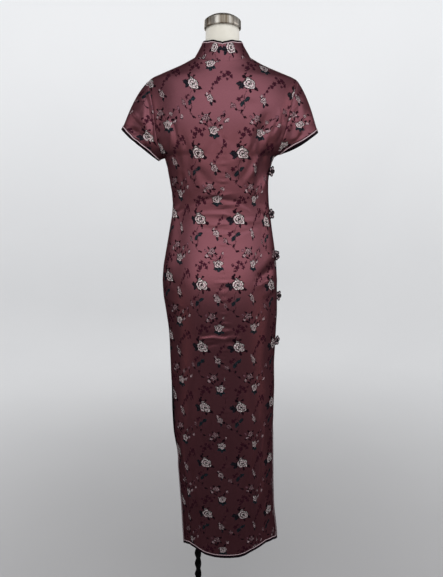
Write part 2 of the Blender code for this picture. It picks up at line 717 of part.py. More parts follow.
def closed_loft(name, rings, material):
    """Closed solid through rings of equal count, both ends flat."""
    count = len(rings[0])
    verts = [p for ring in rings for p in ring]
    faces = []
    for r in range(len(rings) - 1):
        for k in range(count):
            n = (k + 1) % count
            faces.append([r * count + k, r * count + n, (r + 1) * count + n, (r + 1) * count + k])
    faces.append(list(range(count))[::-1])
    faces.append([(len(rings) - 1) * count + k for k in range(count)])
    return new_object(name, verts, faces, material)


def tube(name, outer, inner, material):
    """Closed wall between two open tubes given as rings of points."""
    rows, count = outer.shape[:2]
    verts = [p for ring in outer for p in ring] + [p for ring in inner for p in ring]
    base = rows * count
    faces = []
    for r in range(rows - 1):
        for k in range(count):
            n = (k + 1) % count
            a, b, c, d = r * count + k, r * count + n, (r + 1) * count + n, (r + 1) * count + k
            faces.append([a, b, c])
            faces.append([a, c, d])
            faces.append([base + c, base + b, base + a])
            faces.append([base + d, base + c, base + a])
    for k in range(count):
        n = (k + 1) % count
        faces.append([n, k, base + k, base + n])
        last = (rows - 1) * count
        faces.append([last + k, last + n, base + last + n, base + last + k])
    return new_object(name, verts, faces, material)


def material(name, colour, roughness, metallic=0.0, sheen=0.0):
    mat = bpy.data.materials.new(name)
    mat.use_nodes = True
    node = mat.node_tree.nodes["Principled BSDF"]
    node.inputs["Base Color"].default_value = (*colour, 1.0)
    node.inputs["Roughness"].default_value = roughness
    node.inputs["Metallic"].default_value = metallic
    node.inputs["Sheen Weight"].default_value = sheen
    mat.diffuse_color = (*colour, 1.0)
    return mat


# ------------------------------------------------------------------ sleeves
def armhole_loop(hand, back, front):
    """Outer and inner rim points of one armhole, from the armpit up the back
    to the shoulder tip and down the front, with the outward seam direction."""
    count = len(UPPER_ROWS)
    b_points, b_normals, b_column = back
    f_points, f_normals, f_column = front
    b_rows = range(len(b_points) - count - 1, len(b_points))
    f_rows = range(len(f_points) - count - 1, len(f_points))
    outer = []
    inner = []
    away = []
    for points, normals, column, rows in ((b_points, b_normals, b_column, b_rows),
                                          (f_points, f_normals, f_column, f_rows)):
        edge = np.array([points[r, column] for r in rows])
        normal = np.array([normals[r, column] for r in rows])
        along = np.gradient(edge, axis=0)
        along = along / np.linalg.norm(along, axis=-1, keepdims=True)
        side = np.cross(along, normal)
        side = side / np.linalg.norm(side, axis=-1, keepdims=True)
        neighbour = 1 if column == 0 else column - 1
        towards = np.array([points[r, neighbour] for r in rows]) - edge
        flip = np.sign(np.sum(side * towards, -1, keepdims=True))
        side = -side * np.where(flip == 0.0, 1.0, flip)
        outer.append(edge)
        inner.append(edge - normal * WALL)
        away.append(side)
    def join(a, b):
        bottom = (a[0] + b[0]) / 2.0
        tip = (a[-1] + b[-1]) / 2.0
        return np.array([bottom] + list(a[1:-1]) + [tip] + list(b[1:-1][::-1]))
    out = join(outer[0], outer[1])
    ins = join(inner[0], inner[1])
    aw = join(away[0], away[1])
    aw = aw / np.linalg.norm(aw, axis=-1, keepdims=True)
    aw[0] = np.array([hand * 0.5, 0.0, 0.87])
    ins[0] = out[0] + np.array([-hand * 0.7, 0.0, 1.0])
    return out, ins, aw


def sleeve(name, hand, bottom_x, bottom_z, top_x, top_z, half_deep, bulge, sag, loop):
    """Rings of one short sleeve from its armhole seam to its cuff."""
    out, ins, away = loop
    steps = np.minimum(np.arange(len(out)), len(out) - np.arange(len(out)))
    air = SEAM * (1.0 + 1.8 * np.exp(-(steps / 1.2) ** 2))[:, None]
    rim = out + away * air
    rim_in = ins + away * air
    run = np.linalg.norm(np.roll(rim, -1, 0) - rim, axis=-1)
    run = np.concatenate([[0.0], np.cumsum(run)])[:-1] / run.sum()
    half = len(UPPER_ROWS)
    turn = np.where(np.arange(len(run)) <= half, run / run[half] * math.pi,
                    math.pi + (run - run[half]) / (1.0 - run[half]) * math.pi)
    centre = np.array([(bottom_x + top_x) / 2.0, 1.0, (bottom_z + top_z) / 2.0])
    major = np.array([(top_x - bottom_x) / 2.0, 0.0, (top_z - bottom_z) / 2.0])
    cuff = centre - major * np.cos(turn)[:, None]
    cuff = cuff + np.array([0.0, half_deep, 0.0]) * (np.sign(np.sin(turn))
                                                     * np.abs(np.sin(turn)) ** 0.85)[:, None]
    away_x = hand * major[2] / np.linalg.norm(major)
    away_z = -hand * major[0] / np.linalg.norm(major)
    cuff = cuff + np.array([away_x, 0.0, away_z]) * (sag * np.sin(turn) ** 2)[:, None]
    rows = [r for r in SLEEVE_ROWS if r is not None]
    length = float(np.linalg.norm(cuff - rim, axis=-1).max())
    rows = np.array(rows[:-1] + [1.0 - TRIM_WIDE / length * 1.15, 1.0])
    swell = np.array([major[2] * hand, 0.0, -major[0] * hand])
    swell = -swell / np.linalg.norm(swell) * hand
    up = np.array([hand * 0.62, 0.0, 0.78])
    rings = []
    for w in rows:
        ring = rim + (cuff - rim) * w
        lift = math.sin(math.pi * w ** 0.8) * bulge
        top = (0.5 - 0.5 * np.cos(turn)) ** 2
        ring = ring + up * (lift * top)[:, None]
        ring = ring + np.array([0.0, 1.0, 0.0]) * (lift * 0.5 * np.sin(turn))[:, None]
        rings.append(ring)
    rings = np.array(rings)
    around = np.roll(rings, -1, 1) - np.roll(rings, 1, 1)
    along = np.gradient(rings, axis=0)
    normal = np.cross(around, along)
    normal = normal / np.linalg.norm(normal, axis=-1, keepdims=True)
    middle = rings.mean(axis=1, keepdims=True)
    normal = normal * np.sign(np.sum(normal * (rings - middle)))
    inner = rings - normal * WALL
    inner[0] = rim_in
    return rings, inner, normal


# ------------------------------------------------------------------- collar
def collar_grid(left_front, back_left, back_right, right_front):
    """Outer and inner skins of the standing collar, from the throat round the
    wearer's left, the nape and the right back to the throat."""
    def neckline(grid, columns):
        points, normals = grid
        return points[-1, columns], points[-1, columns] - normals[-1, columns] * WALL
    parts = (neckline(left_front, slice(-1, -14, -1)),
             neckline(back_left, slice(-5, None)),
             neckline(back_right, slice(-1, -6, -1)),
             neckline(right_front, slice(3, None)))
    outer = np.concatenate([parts[0][0][:-1], parts[1][0][:-1],
                            parts[2][0][:-1], parts[3][0]])
    inner = np.concatenate([parts[0][1][:-1], parts[1][1][:-1],
                            parts[2][1][:-1], parts[3][1]])
    last = len(outer) - 2
    return outer[:last + 1], inner[:last + 1]


def collar_solid(base_out, base_in):
    count = len(base_out)
    angle = np.arctan2(base_out[:, 1], base_out[:, 0])
    cos = np.cos(angle)
    sin = np.sin(angle)
    reach_y = np.where(sin > 0.0, 56.0, 51.0)
    top = np.stack([COLLAR_HALF_TOP * cos, reach_y * sin,
                    base_out[:, 2] + COLLAR_TALL - 2.0 * np.abs(cos)], -1)
    from_nape = top[:, 0]
    behind = np.clip(sin, 0.0, 1.0)
    wave = (4.0 * np.exp(-((np.abs(from_nape) - 24.0) / 11.0) ** 2) + 9.0 * behind) * behind
    top[:, 2] += wave
    end = np.minimum(np.arange(count), np.arange(count)[::-1])
    top[:, 2] -= np.where(end == 0, 9.0, np.where(end == 1, 1.5, 0.0))
    rise = np.array([0.0, 0.0, 1.0])
    rows = np.append(np.linspace(0.0, 1.0 - 5.0 / COLLAR_TALL, COLLAR_ROWS), 1.0)
    rings = []
    for w in rows:
        ring = base_out + rise * 0.5 + (top - base_out) * w
        rings.append(ring)
    rings = np.array(rings)
    along = np.gradient(rings, axis=1)
    up = np.gradient(rings, axis=0)
    normal = np.cross(along, up)
    normal = normal / np.linalg.norm(normal, axis=-1, keepdims=True)
    flip = np.sign(np.sum(normal * rings * (1.0, 1.0, 0.0), -1, keepdims=True))
    normal = normal * np.where(flip == 0.0, 1.0, flip)
    inner = rings - normal * COLLAR_THICK
    inner[0] = base_in + rise * 0.5
    return rings, inner, normal


# --------------------------------------------------------------------- frogs
def frog(name, centre, facing, spin, mat):
    """Flower frog: four corded petals round a knot, flat behind."""
    facing = Vector(facing).normalized()
    frame = facing.to_track_quat('Z', 'Y').to_matrix()
    frame = frame @ Matrix.Rotation(spin, 3, 'Z')
    around = 24
    profile = ((1.0, 0.0), (1.0, 0.45), (0.86, 1.0), (0.62, 0.55), (0.40, 0.9), (0.20, 2.1))
    rings = []
    for share, rise in profile:
        ring = []
        for k in range(around):
            turn = 2.0 * math.pi * k / around
            lobe = 0.42 + 0.58 * abs(math.cos(2.0 * turn)) ** 0.7
            if share > 0.5:
                reach = FROG_REACH * share * lobe
            else:
                reach = FROG_REACH * share * 0.72
            high = rise * FROG_CORD
            p = frame @ Vector((reach * math.cos(turn), reach * math.sin(turn), high))
            ring.append(Vector(centre) + p)
        rings.append(ring)
    return closed_loft(name, rings, mat)


def seat(skins, place, facing):
    """Lift above place at which a flat disc of the frog's reach clears the
    facets of the given skins by the seam air."""
    facing = facing / np.linalg.norm(facing)
    best = -50.0
    for skin in skins:
        for s in np.linspace(0.0, 1.0, 5):
            for t in np.linspace(0.0, 1.0, 5):
                low = skin[:-1, :-1] * (1 - s) + skin[:-1, 1:] * s
                high = skin[1:, :-1] * (1 - s) + skin[1:, 1:] * s
                offset = (low * (1 - t) + high * t) - place
                rise = offset @ facing
                flat = np.linalg.norm(offset - rise[..., None] * facing, axis=-1)
                near = rise[(flat < FROG_REACH + 1.0) & (np.abs(rise) < 25.0)]
                if near.size:
                    best = max(best, float(near.max()))
    return best + SEAM + 0.2


# ------------------------------------------------------------ form and stand
def form_solid(name, mat):
    rings = []
    for z, half, shift, back, front, power in FORM:
        ring = []
        for k in range(FORM_AROUND):
            turn = 2.0 * math.pi * k / FORM_AROUND
            c = math.cos(turn)
            s = math.sin(turn)
            x = shift + half * math.copysign(abs(c) ** (2.0 / power), c)
            y = (back if s > 0 else front) * math.copysign(abs(s) ** (2.0 / power), s)
            ring.append((x, y, z))
        rings.append(ring)
    return closed_loft(name, rings, mat)


def cap_solid(name, mat):
    """Turned cap on the neck, made with the Screw modifier."""
    mesh = bpy.data.meshes.new(name)
    verts = [(r * MM, 0.0, z * MM) for r, z in CAP]
    edges = [(k, k + 1) for k in range(len(CAP) - 1)]
    mesh.from_pydata(verts, edges, [])
    obj = bpy.data.objects.new(name, mesh)
    obj.data.materials.append(mat)
    home.objects.link(obj)
    turn = obj.modifiers.new("turn", 'SCREW')
    turn.axis = 'Z'
    turn.steps = 28
    turn.render_steps = 28
    turn.use_merge_vertices = True
    turn.merge_threshold = 0.00005
    turn.use_normal_calculate = True
    turn.use_smooth_shade = True
    obj.location = (0.0, CAP_Y * MM, 0.0)
    return obj


def pole_solid(name, mat, top):
    """Two-strand twisted pole below, plain round above."""
    around = 10
    rings = []
    z = BASE_TALL + SEAM
    step = POLE_PITCH / 10.0
    while z < POLE_TWIST_TOP:
        spin = 2.0 * math.pi * z / POLE_PITCH
        ring = []
        for k in range(around):
            turn = 2.0 * math.pi * k / around
            reach = POLE_RADIUS + POLE_LOBE * math.cos(2.0 * (turn - spin))
            ring.append((POLE_X + reach * math.cos(turn), reach * math.sin(turn), z))
        rings.append(ring)
        z += step
    for z in (POLE_TWIST_TOP + 6.0, top):
        ring = []
        for k in range(around):
            turn = 2.0 * math.pi * k / around
            ring.append((POLE_X + POLE_PLAIN_RADIUS * math.cos(turn),
                         POLE_PLAIN_RADIUS * math.sin(turn), z))
        rings.append(ring)
    return closed_loft(name, rings, mat)


def base_solid(name, mat):
    mesh = bpy.data.meshes.new(name)
    bm = bmesh.new()
    bmesh.ops.create_cone(bm, cap_ends=True, segments=48, radius1=BASE_RADIUS * MM,
                          radius2=BASE_RADIUS * MM, depth=BASE_TALL * MM)
    bmesh.ops.translate(bm, verts=bm.verts, vec=(0.0, 0.0, BASE_TALL * MM / 2.0))
    bm.to_mesh(mesh)
    bm.free()
    obj = bpy.data.objects.new(name, mesh)
    obj.data.materials.append(mat)
    home.objects.link(obj)
    edge = obj.modifiers.new("edge", 'BEVEL')
    edge.width = 3.0 * MM
    edge.segments = 2
    edge.limit_method = 'ANGLE'
    return obj


# --------------------------------------------------------------------- build
for old in list(bpy.data.objects):
    bpy.data.objects.remove(old, do_unlink=True)
home = bpy.data.collections.new(OBJECT)
bpy.context.scene.collection.children.link(home)

satin = {}
for label in ("back_left", "back_right", "front_panel", "right_underlap", "sleeve_left",
              "sleeve_right", "collar"):
    satin[label] = material(label + "_satin", (0.20, 0.065, 0.085), 0.38, sheen=0.2)
trim = {}
for label in ("back_left_binding", "back_right_binding", "front_binding",
              "cuff_binding_left", "cuff_binding_right", "collar_binding"):
    trim[label] = material(label + "_satin", (0.022, 0.012, 0.020), 0.40)

left_grid = back_half(1.0)
right_grid = back_half(-1.0)
front_grid = front_whole()
lap_grid = underlap(front_grid)

panel("back_left", left_grid, satin["back_left"])
panel("back_right", right_grid, satin["back_right"])
panel("front_panel", front_grid, satin["front_panel"])
panel("right_underlap", lap_grid, satin["right_underlap"])

row_count = len(lower_rows())
hem_cell = 0
left_slit = row_count - 1 - LEFT_SLIT_ROW
right_slit = row_count - 1 - RIGHT_SLIT_ROW
binding("back_left_binding", left_grid, trim["back_left_binding"],
        lambda i, j: i == hem_cell or (j == 0 and i < left_slit))
binding("back_right_binding", right_grid, trim["back_right_binding"],
        lambda i, j: i == hem_cell or (j == 0 and i < right_slit))
front_last = front_grid[0].shape[1] - 2
binding("front_binding", front_grid, trim["front_binding"],
        lambda i, j: i == hem_cell or (j == 0 and i < left_slit) or j == front_last)

loops = {
    "sleeve_left": armhole_loop(1.0, (*left_grid, 0), (*front_grid, 0)),
    "sleeve_right": armhole_loop(-1.0, (*right_grid, 0), (*lap_grid, 0)),
}
for label, hand, bx, bz, tx, tz, deep, bulge, sag in SLEEVES:
    skin, lining_side, normal = sleeve(label, hand, bx, bz, tx, tz, deep, bulge, sag,
                                       loops[label])
    tube(label, skin, lining_side, satin[label])
    cuff = "cuff_binding_left" if hand > 0 else "cuff_binding_right"
    tube(cuff, skin[-2:] + normal[-2:] * (TRIM_LIFT + TRIM_THICK),
         skin[-2:] + normal[-2:] * TRIM_LIFT, trim[cuff])

base_out, base_in = collar_grid(front_grid, left_grid, right_grid, lap_grid)
skin, back_side, normal = collar_solid(base_out, base_in)
slab("collar", skin, back_side, satin["collar"])
top_cell = skin.shape[0] - 2
last_cell = skin.shape[1] - 2
slab("collar_binding", skin + normal * (TRIM_LIFT + TRIM_THICK), skin + normal * TRIM_LIFT,
     trim["collar_binding"], lambda i, j: i == top_cell, skin)

frog_mat = {}
for k, z in enumerate(SIDE_FROGS):
    label = "frog_side_%d" % (k + 1)
    frog_mat[label] = material(label + "_cord", (0.030, 0.014, 0.024), 0.45)
    level = (BUST_Z - z) / (BUST_Z - 266.0)
    share = np.array([0.955])
    place = lower_point(1.0, share, np.array([level]))
    facing = lift_normals(lambda s, v: lower_point(1.0, s, v), share, np.array([level]), 1.0)
    away = seat([right_grid[0]], place[0], facing[0])
    frog(label, place[0] + facing[0] * away, facing[0], 0.0, frog_mat[label])

for label, share, z in FRONT_FROGS:
    frog_mat[label] = material(label + "_cord", (0.030, 0.014, 0.024), 0.45)
    place, facing = upper_fill(-1.0, np.array([[[share, z]]]))
    bound = front_grid[0][:, -2:] + front_grid[1][:, -2:] * (TRIM_LIFT + TRIM_THICK)
    away = seat([front_grid[0], bound], place[0, 0], facing[0, 0])
    frog(label, place[0, 0] + facing[0, 0] * away, facing[0, 0], 0.0, frog_mat[label])

form_mat = material("form_cloth", (0.72, 0.69, 0.64), 0.85)
cap_mat = material("cap_chrome", (0.62, 0.60, 0.58), 0.12, 1.0)
pole_mat = material("pole_iron", (0.012, 0.012, 0.013), 0.45, 0.6)
base_mat = material("base_iron", (0.015, 0.015, 0.016), 0.5, 0.6)
form_solid("form_torso", form_mat)
cap_solid("neck_cap", cap_mat)
pole_solid("stand_pole", pole_mat, FORM[0][0] - SEAM)
base_solid("stand_base", base_mat)
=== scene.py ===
import math

import bmesh
import bpy
import numpy as np
from mathutils import Matrix, Vector


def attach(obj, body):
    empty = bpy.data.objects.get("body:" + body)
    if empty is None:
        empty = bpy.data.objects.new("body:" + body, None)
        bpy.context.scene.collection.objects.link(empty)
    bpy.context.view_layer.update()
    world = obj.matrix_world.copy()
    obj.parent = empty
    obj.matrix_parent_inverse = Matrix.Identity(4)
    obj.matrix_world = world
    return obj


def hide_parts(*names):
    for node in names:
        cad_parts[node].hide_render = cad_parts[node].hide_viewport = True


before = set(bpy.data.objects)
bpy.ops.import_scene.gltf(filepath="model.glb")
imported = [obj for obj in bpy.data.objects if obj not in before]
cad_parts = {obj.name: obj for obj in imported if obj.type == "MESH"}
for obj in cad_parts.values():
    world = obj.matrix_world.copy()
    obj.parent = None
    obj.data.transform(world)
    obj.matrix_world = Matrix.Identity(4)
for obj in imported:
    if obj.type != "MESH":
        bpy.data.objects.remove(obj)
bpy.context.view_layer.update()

# The dress stands on the form at z = 0, its front faces -Y and the wearer's
# left is +X. Sizes are in millimetres until a mesh is made.
MM = 0.001
CLOTH = 1.0            # thickness of the cloth shells
BUST_Z = 1358.0        # armpits, where each panel changes from its skirt to its upper patch
TIP_Z = 1549.0         # shoulder tips
NECK_SIDE_Z = 1602.0
NAPE_Z = 1578.0
THROAT_Z = 1535.0
LEFT_SLIT_Z = 761.0
RIGHT_SLIT_Z = 654.0
OPENING_END_Z = 1342.0
# heights of the hem that the columns, the rows and the front's dip are set by
HEM_MEAN, HEM_LOW, FRONT_HEM = 266.0, 262.0, 265.0
SLITS_PARTED = (5.0, 4.0)  # how far the left and right slit edges are drawn apart
UNDERLAP_WIDE = 61.0
UNDERLAP_DROP = 3.4    # how far the underlap lies under the front above the armpit
UNDERLAP_SKIRT = 1.95  # and below it

# height, half width, centre shift (+X), depth behind, depth in front, roundness
SECTIONS = np.array((
    (230, 137, -25.5, 91, 86, 2.05), (293, 136.4, -21.8, 92, 86, 2.1),
    (370, 133.4, -16, 95, 87, 2.2), (447, 134, -11.8, 97, 88, 2.3),
    (522, 135.5, -8.5, 98, 90, 2.35), (596, 141, -2.1, 100, 92, 2.35),
    (669, 143.3, -1.1, 103, 94, 2.35), (740, 143.7, -1.7, 105, 96, 2.3),
    (811, 143.4, -0.3, 108, 98, 2.3), (880, 145.8, -0.6, 112, 101, 2.25),
    (914, 147.4, 0, 114, 103, 2.25), (948, 150.6, 1.6, 116, 105, 2.25),
    (998, 154, 5.5, 117.5, 107, 2.25), (1040, 154.6, 6.9, 115, 108, 2.25),
    (1080, 151.5, 6.5, 107, 108, 2.25), (1113, 146.5, 5.4, 97, 105, 2.25),
    (1145, 141, 4.8, 87, 100, 2.3), (1177, 135.6, 4.4, 78, 95, 2.3),
    (1209, 130.4, 3.7, 72, 91, 2.3), (1240, 126.6, 4.4, 70.5, 92, 2.3),
    (1271, 126.7, 6.3, 75, 98, 2.3), (1302, 129, 8.9, 81, 107, 2.3),
    (1333, 134, 9.2, 88, 114, 2.3), (1358, 142, 8, 92, 117, 2.3), (1370, 159, 7.5, 94, 118, 2.3),
    (1385, 170, 7, 96, 117, 2.3), (1402, 178, 6.3, 98, 114, 2.3), (1430, 185, 5, 100, 108, 2.3),
    (1470, 187, 2.8, 98, 97, 2.3), (1510, 188, 0.4, 92, 80, 2.15),
    (1535, 188.6, -0.9, 84, 64, 1.95), (1549, 188, -1.4, 78, 55, 1.75),
    (1556, 177, -0.2, 75, 52, 1.62), (1570, 143.2, 1, 69, 48, 1.5), (1585, 105, 0.8, 64, 46, 1.55),
    (1599, 76, 0, 60, 45, 1.75), (1612, 52, 0, 57, 44, 1.9),
))
HALF, SHIFT, BACK, FRONT, ROUND = 1, 2, 3, 4, 5

# height, edge of the back armhole, edge of the front armhole, as shares of the half width
ARMHOLE = np.array((
    (1358, 1.000, 1.000), (1366, 0.950, 0.940), (1380, 0.905, 0.885), (1402, 0.878, 0.850),
    (1430, 0.880, 0.838), (1470, 0.908, 0.862), (1505, 0.945, 0.915), (1525, 0.975, 0.958),
    (1535, 0.988, 0.978), (1549, 1.000, 1.000),
))
ARM_BACK, ARM_FRONT = 1, 2

# height, slanted opening, hidden inner edge of the underlap, as shares of the front
OPENING = np.array((
    (1342, 1.000, 0.900), (1348, 0.930, 0.870), (1355, 0.875, 0.830), (1366, 0.820, 0.775),
    (1380, 0.775, 0.715), (1402, 0.725, 0.655), (1430, 0.675, 0.605), (1470, 0.612, 0.542),
    (1505, 0.558, 0.495), (1525, 0.524, 0.468), (1535, 0.500, 0.450),
))
SLANT, INNER = 1, 2

# height, X
CENTRE_BACK = np.array(((230, -12.8), (700, -7.5), (1200, -1.6), (1578, 0)))
# share of the way round from the left seam over the back, height of the hem
HEM = np.array((
    (0, 249), (0.035, 265), (0.075, 278), (0.105, 277), (0.15, 267), (0.19, 265), (0.25, 266),
    (0.285, 267), (0.307, 271), (0.33, 279), (0.36, 286), (0.395, 293), (0.44, 287), (0.5, 264),
    (0.57, 262), (0.75, 268), (0.93, 260), (1, 249),
))
# height, how far the cloth over the left slit is drawn in
LEFT_DRAW = np.array((
    (500, 0), (560, 5), (610, 9), (660, 10.5), (710, 8), (740, 4), (761, 0),
))

# largest folds: side (+1 back, -1 front), X and height at each end, width, depth
FOLDS = (
    (1, -106, 1440, -100, 1300, 15, -5), (1, -128, 1418, -118, 1330, 12, 3.5),
    (1, -142, 1085, -96, 1052, 20, -5), (1, 112, 560, 86, 420, 18, 5),
    (1, -124, 585, -92, 360, 20, 5.5), (1, 20, 640, 36, 330, 24, -4),
    (1, -52, 520, -58, 290, 20, -4), (-1, 96, 620, 72, 300, 22, -5),
    (-1, -84, 560, -98, 280, 22, -5), (-1, -8, 480, -20, 270, 24, 4.5),
    (-1, 112, 1430, 92, 1330, 14, -4),
)

# finer creases: side, X and height at both ends, bow to the
# side, width, depth of the ridge (negative is a trough)
CREASES = (
    # under and beside the right arm
    (1, -104, 1452, -96, 1322, 8, 7, -3.2), (1, -90, 1436, -84, 1330, 6, 6, 1.4),
    (1, -118, 1398, -92, 1290, 5, 6, -2), (1, -130, 1350, -96, 1262, 6, 7, 1.6),
    (1, -150, 1462, -138, 1392, -5, 6, -2.6), (1, -140, 1470, -126, 1400, -4, 5, 2),
    (1, -98, 1442, -84, 1306, 8, 13, -4.5), (1, -126, 1400, -84, 1284, -6, 13, -5),
    (1, -102, 1412, -58, 1296, -8, 9, 3.6), (1, -84, 1410, -40, 1330, -6, 8, -2),
    (1, -124, 1440, -112, 1350, 6, 9, 2.4), (1, -78, 1396, -72, 1300, 5, 9, 1.6),
    (1, -112, 1330, -84, 1250, 5, 10, -2),
    # under and beside the left arm
    (1, 104, 1420, 84, 1290, -8, 14, -1.8), (1, 60, 1330, 20, 1290, 8, 9, -1.6),
    (1, -20, 1360, -44, 1300, 4, 9, 1.3), (1, 6, 1420, -6, 1384, 3, 8, -1.6),
    (1, 124, 1440, 112, 1346, -6, 7, -2.4), (1, 138, 1456, 128, 1370, -5, 6, 1.8),
    (1, 122, 1372, 98, 1292, -5, 7, -1.4), (1, 108, 1334, 80, 1262, -4, 8, 1.2),
    # shoulder blades and the nape
    (1, 40, 1500, 92, 1470, 5, 12, 1.4), (1, -36, 1504, -88, 1480, -5, 12, 1.6),
    (1, -24, 1398, -60, 1352, 4, 9, -1.2), (1, 22, 1392, 54, 1350, -4, 9, -1),
    # waist and hips
    (1, 8, 1258, 74, 1236, 5, 5, -1), (1, -8, 1250, -72, 1224, -6, 5, -1.2),
    (1, 14, 1214, 88, 1206, 4, 5.5, 0.9), (1, -14, 1208, -92, 1196, 4, 5.5, 1.1),
    (1, 10, 1176, 66, 1188, -4, 5, -0.9), (1, -12, 1168, -84, 1180, 5, 5.5, -1),
    (1, 96, 1230, 122, 1212, 2, 5, -1.4), (1, -94, 1222, -118, 1200, 2, 5, -1.6),
    (1, -146, 1096, -92, 1058, -6, 9, -3), (1, -138, 1066, -84, 1034, -5, 8, 1.8),
    (1, -148, 1020, -102, 996, -4, 8, -1.4), (1, 148, 1060, 96, 1030, 5, 9, -1.2),
    (1, 146, 1004, 100, 984, 4, 8, 1),
    # the seat and the long skirt
    (1, 8, 905, 62, 896, 4, 5, 1.9), (1, 10, 889, 50, 876, 3, 6, -1.6),
    (1, -10, 906, -44, 900, -3, 4.5, 1.6), (1, -12, 892, -40, 880, -3, 5, -1.2),
    (1, 60, 840, 80, 560, 10, 16, -1.6), (1, -62, 820, -74, 540, -9, 16, -1.4),
    (1, 22, 760, 30, 480, 6, 15, 1.3), (1, -30, 700, -36, 420, -6, 14, 1.2),
    (1, 104, 700, 122, 520, 6, 10, -1.8), (1, 92, 480, 70, 300, -8, 10, -2.2),
    (1, 108, 440, 98, 300, -5, 8, 1.8), (1, -118, 700, -128, 560, -5, 9, -1.6),
    (1, -108, 500, -84, 330, 8, 10, -2.4), (1, -126, 430, -116, 310, 5, 8, 2),
    (1, 4, 420, -2, 290, 4, 11, 1.4), (1, 46, 400, 52, 290, 3, 9, -1.4),
    (1, -112, 640, -90, 330, 6, 7, 4.4), (1, -94, 580, -72, 320, 8, 8, -3.4),
    (1, 112, 600, 88, 360, -6, 7, 4), (1, 94, 560, 70, 330, -6, 8, -3.2),
    (1, -132, 1000, -124, 760, 4, 9, -1.8), (1, 130, 960, 124, 720, -4, 9, -1.6),
    # left sleeve, behind
    (1, 250, 1452, 180, 1400, 8, 10, -4), (1, 232, 1474, 184, 1440, 5, 8, 2.2),
    (1, 214, 1390, 176, 1364, 4, 7, -2.2), (1, 186, 1500, 176, 1380, -5, 8, -3.2),
    (1, 196, 1512, 186, 1440, -6, 6, -2.2), (1, 248, 1440, 208, 1418, 6, 7, -3.4),
    (1, 244, 1422, 206, 1402, 5, 6, 2.4), (1, 222, 1470, 194, 1432, 4, 7, 1.6),
    (1, 204, 1402, 182, 1372, 3, 6, -1.6),
    # right sleeve, behind
    (1, -200, 1496, -172, 1400, 5, 9, -3.6), (1, -214, 1480, -190, 1410, 4, 8, 2),
    (1, -240, 1426, -186, 1396, -4, 8, 1.8), (1, -198, 1500, -172, 1436, 6, 6, -3),
    (1, -186, 1478, -166, 1420, 4, 5, 2.2), (1, -236, 1440, -196, 1412, -5, 7, 1.2),
    (1, -206, 1426, -172, 1388, -4, 6, -1.6),
    # the front
    (-1, 118, 1446, 104, 1330, -6, 8, -2.6), (-1, -116, 1440, -98, 1322, 6, 8, -2.4),
    (-1, 128, 1366, 92, 1290, -5, 7, 1.6), (-1, -128, 1356, -90, 1288, 5, 7, 1.6),
    (-1, 118, 1322, 66, 1290, 4, 6, -1.6), (-1, 122, 1300, 78, 1268, 3, 6, 1.2),
    (-1, 100, 1226, 40, 1210, 4, 6, -1.2), (-1, -98, 1222, -36, 1204, -4, 6, -1.2),
    (-1, 94, 1196, 34, 1184, -3, 6, 1), (-1, -92, 1192, -30, 1178, 3, 6, 1),
    (-1, 60, 1176, -40, 1170, 4, 7, -0.9), (-1, 140, 1060, 92, 1036, 4, 8, -1.4),
    (-1, -138, 1056, -90, 1030, -4, 8, -1.4), (-1, 30, 1090, -28, 1082, 6, 8, 0.8),
    (-1, 70, 860, 62, 560, 8, 15, 1.4), (-1, -66, 840, -72, 540, -8, 15, 1.4),
    (-1, 16, 780, 10, 420, 6, 14, -1.4), (-1, -40, 640, -30, 360, 6, 12, 1.2),
    (-1, 112, 520, 96, 300, 6, 10, -2), (-1, -112, 480, -98, 300, -6, 10, -2),
    (-1, 48, 420, 40, 290, 4, 9, 1.6), (-1, -58, 400, -66, 290, -4, 9, 1.4),
    (-1, 236, 1438, 198, 1420, 5, 6, -2), (-1, -232, 1440, -194, 1420, -5, 6, -2),
    (-1, 200, 1500, 180, 1430, -5, 6, -2), (-1, -196, 1498, -176, 1430, 5, 6, -2),
    (-1, 60, 1474, 88, 1400, 5, 12, 1.2), (-1, -30, 1440, -70, 1370, 5, 12, 1),
)

# puckers across the centre back seam: height, reach left, reach right, width, depth
PUCKERS = (
    (1420, 9, 9, 3.2, 0.5), (1382, 12, 10, 3.4, 0.6), (1338, 12, 14, 3.4, 0.6),
    (1296, 14, 12, 3.4, 0.8), (1263, 26, 22, 3.6, 1.3), (1251, 22, 20, 3.4, -1),
    (1238, 20, 24, 3.4, 1.1), (1226, 22, 18, 3.2, -1), (1213, 24, 22, 3.4, 1.3),
    (1201, 20, 24, 3.2, -1), (1189, 24, 20, 3.4, 1.2), (1176, 20, 18, 3.2, -0.9),
    (1163, 22, 22, 3.4, 1.1), (1150, 18, 20, 3.2, -0.9), (1139, 20, 16, 3.4, 0.9),
    (1112, 12, 12, 3.4, 0.6), (1078, 12, 10, 3.4, 0.5), (1046, 18, 14, 3.6, 1.1),
    (1033, 14, 16, 3.4, -0.9), (1002, 10, 12, 3.2, 0.5), (968, 12, 10, 3.2, 0.6),
    (941, 16, 14, 3.2, 0.9), (931, 18, 16, 3, -1.1), (921, 20, 18, 3.2, 1.3),
    (911, 22, 18, 3, -1.3), (901, 30, 24, 3.2, 1.5), (870, 12, 14, 3.4, 0.6),
    (826, 10, 10, 3.4, 0.5), (770, 12, 10, 3.6, 0.5), (700, 10, 12, 3.6, 0.5),
    (622, 12, 10, 3.6, 0.5), (540, 10, 10, 3.6, 0.5), (455, 10, 12, 3.6, 0.5),
    (372, 12, 10, 3.6, 0.6), (312, 10, 10, 3.4, 0.6),
)

# what each half loses in the shaped centre back seam: height, left, right
TAKEN_IN = np.array((
    (230, 19.5, 18), (398, 19.5, 18), (700, 19, 22), (880, 15, 27), (1041, 17, 29), (1202, 15, 25),
    (1362, 12, 16), (1523, 0, 0), (1612, 0, 0),
))
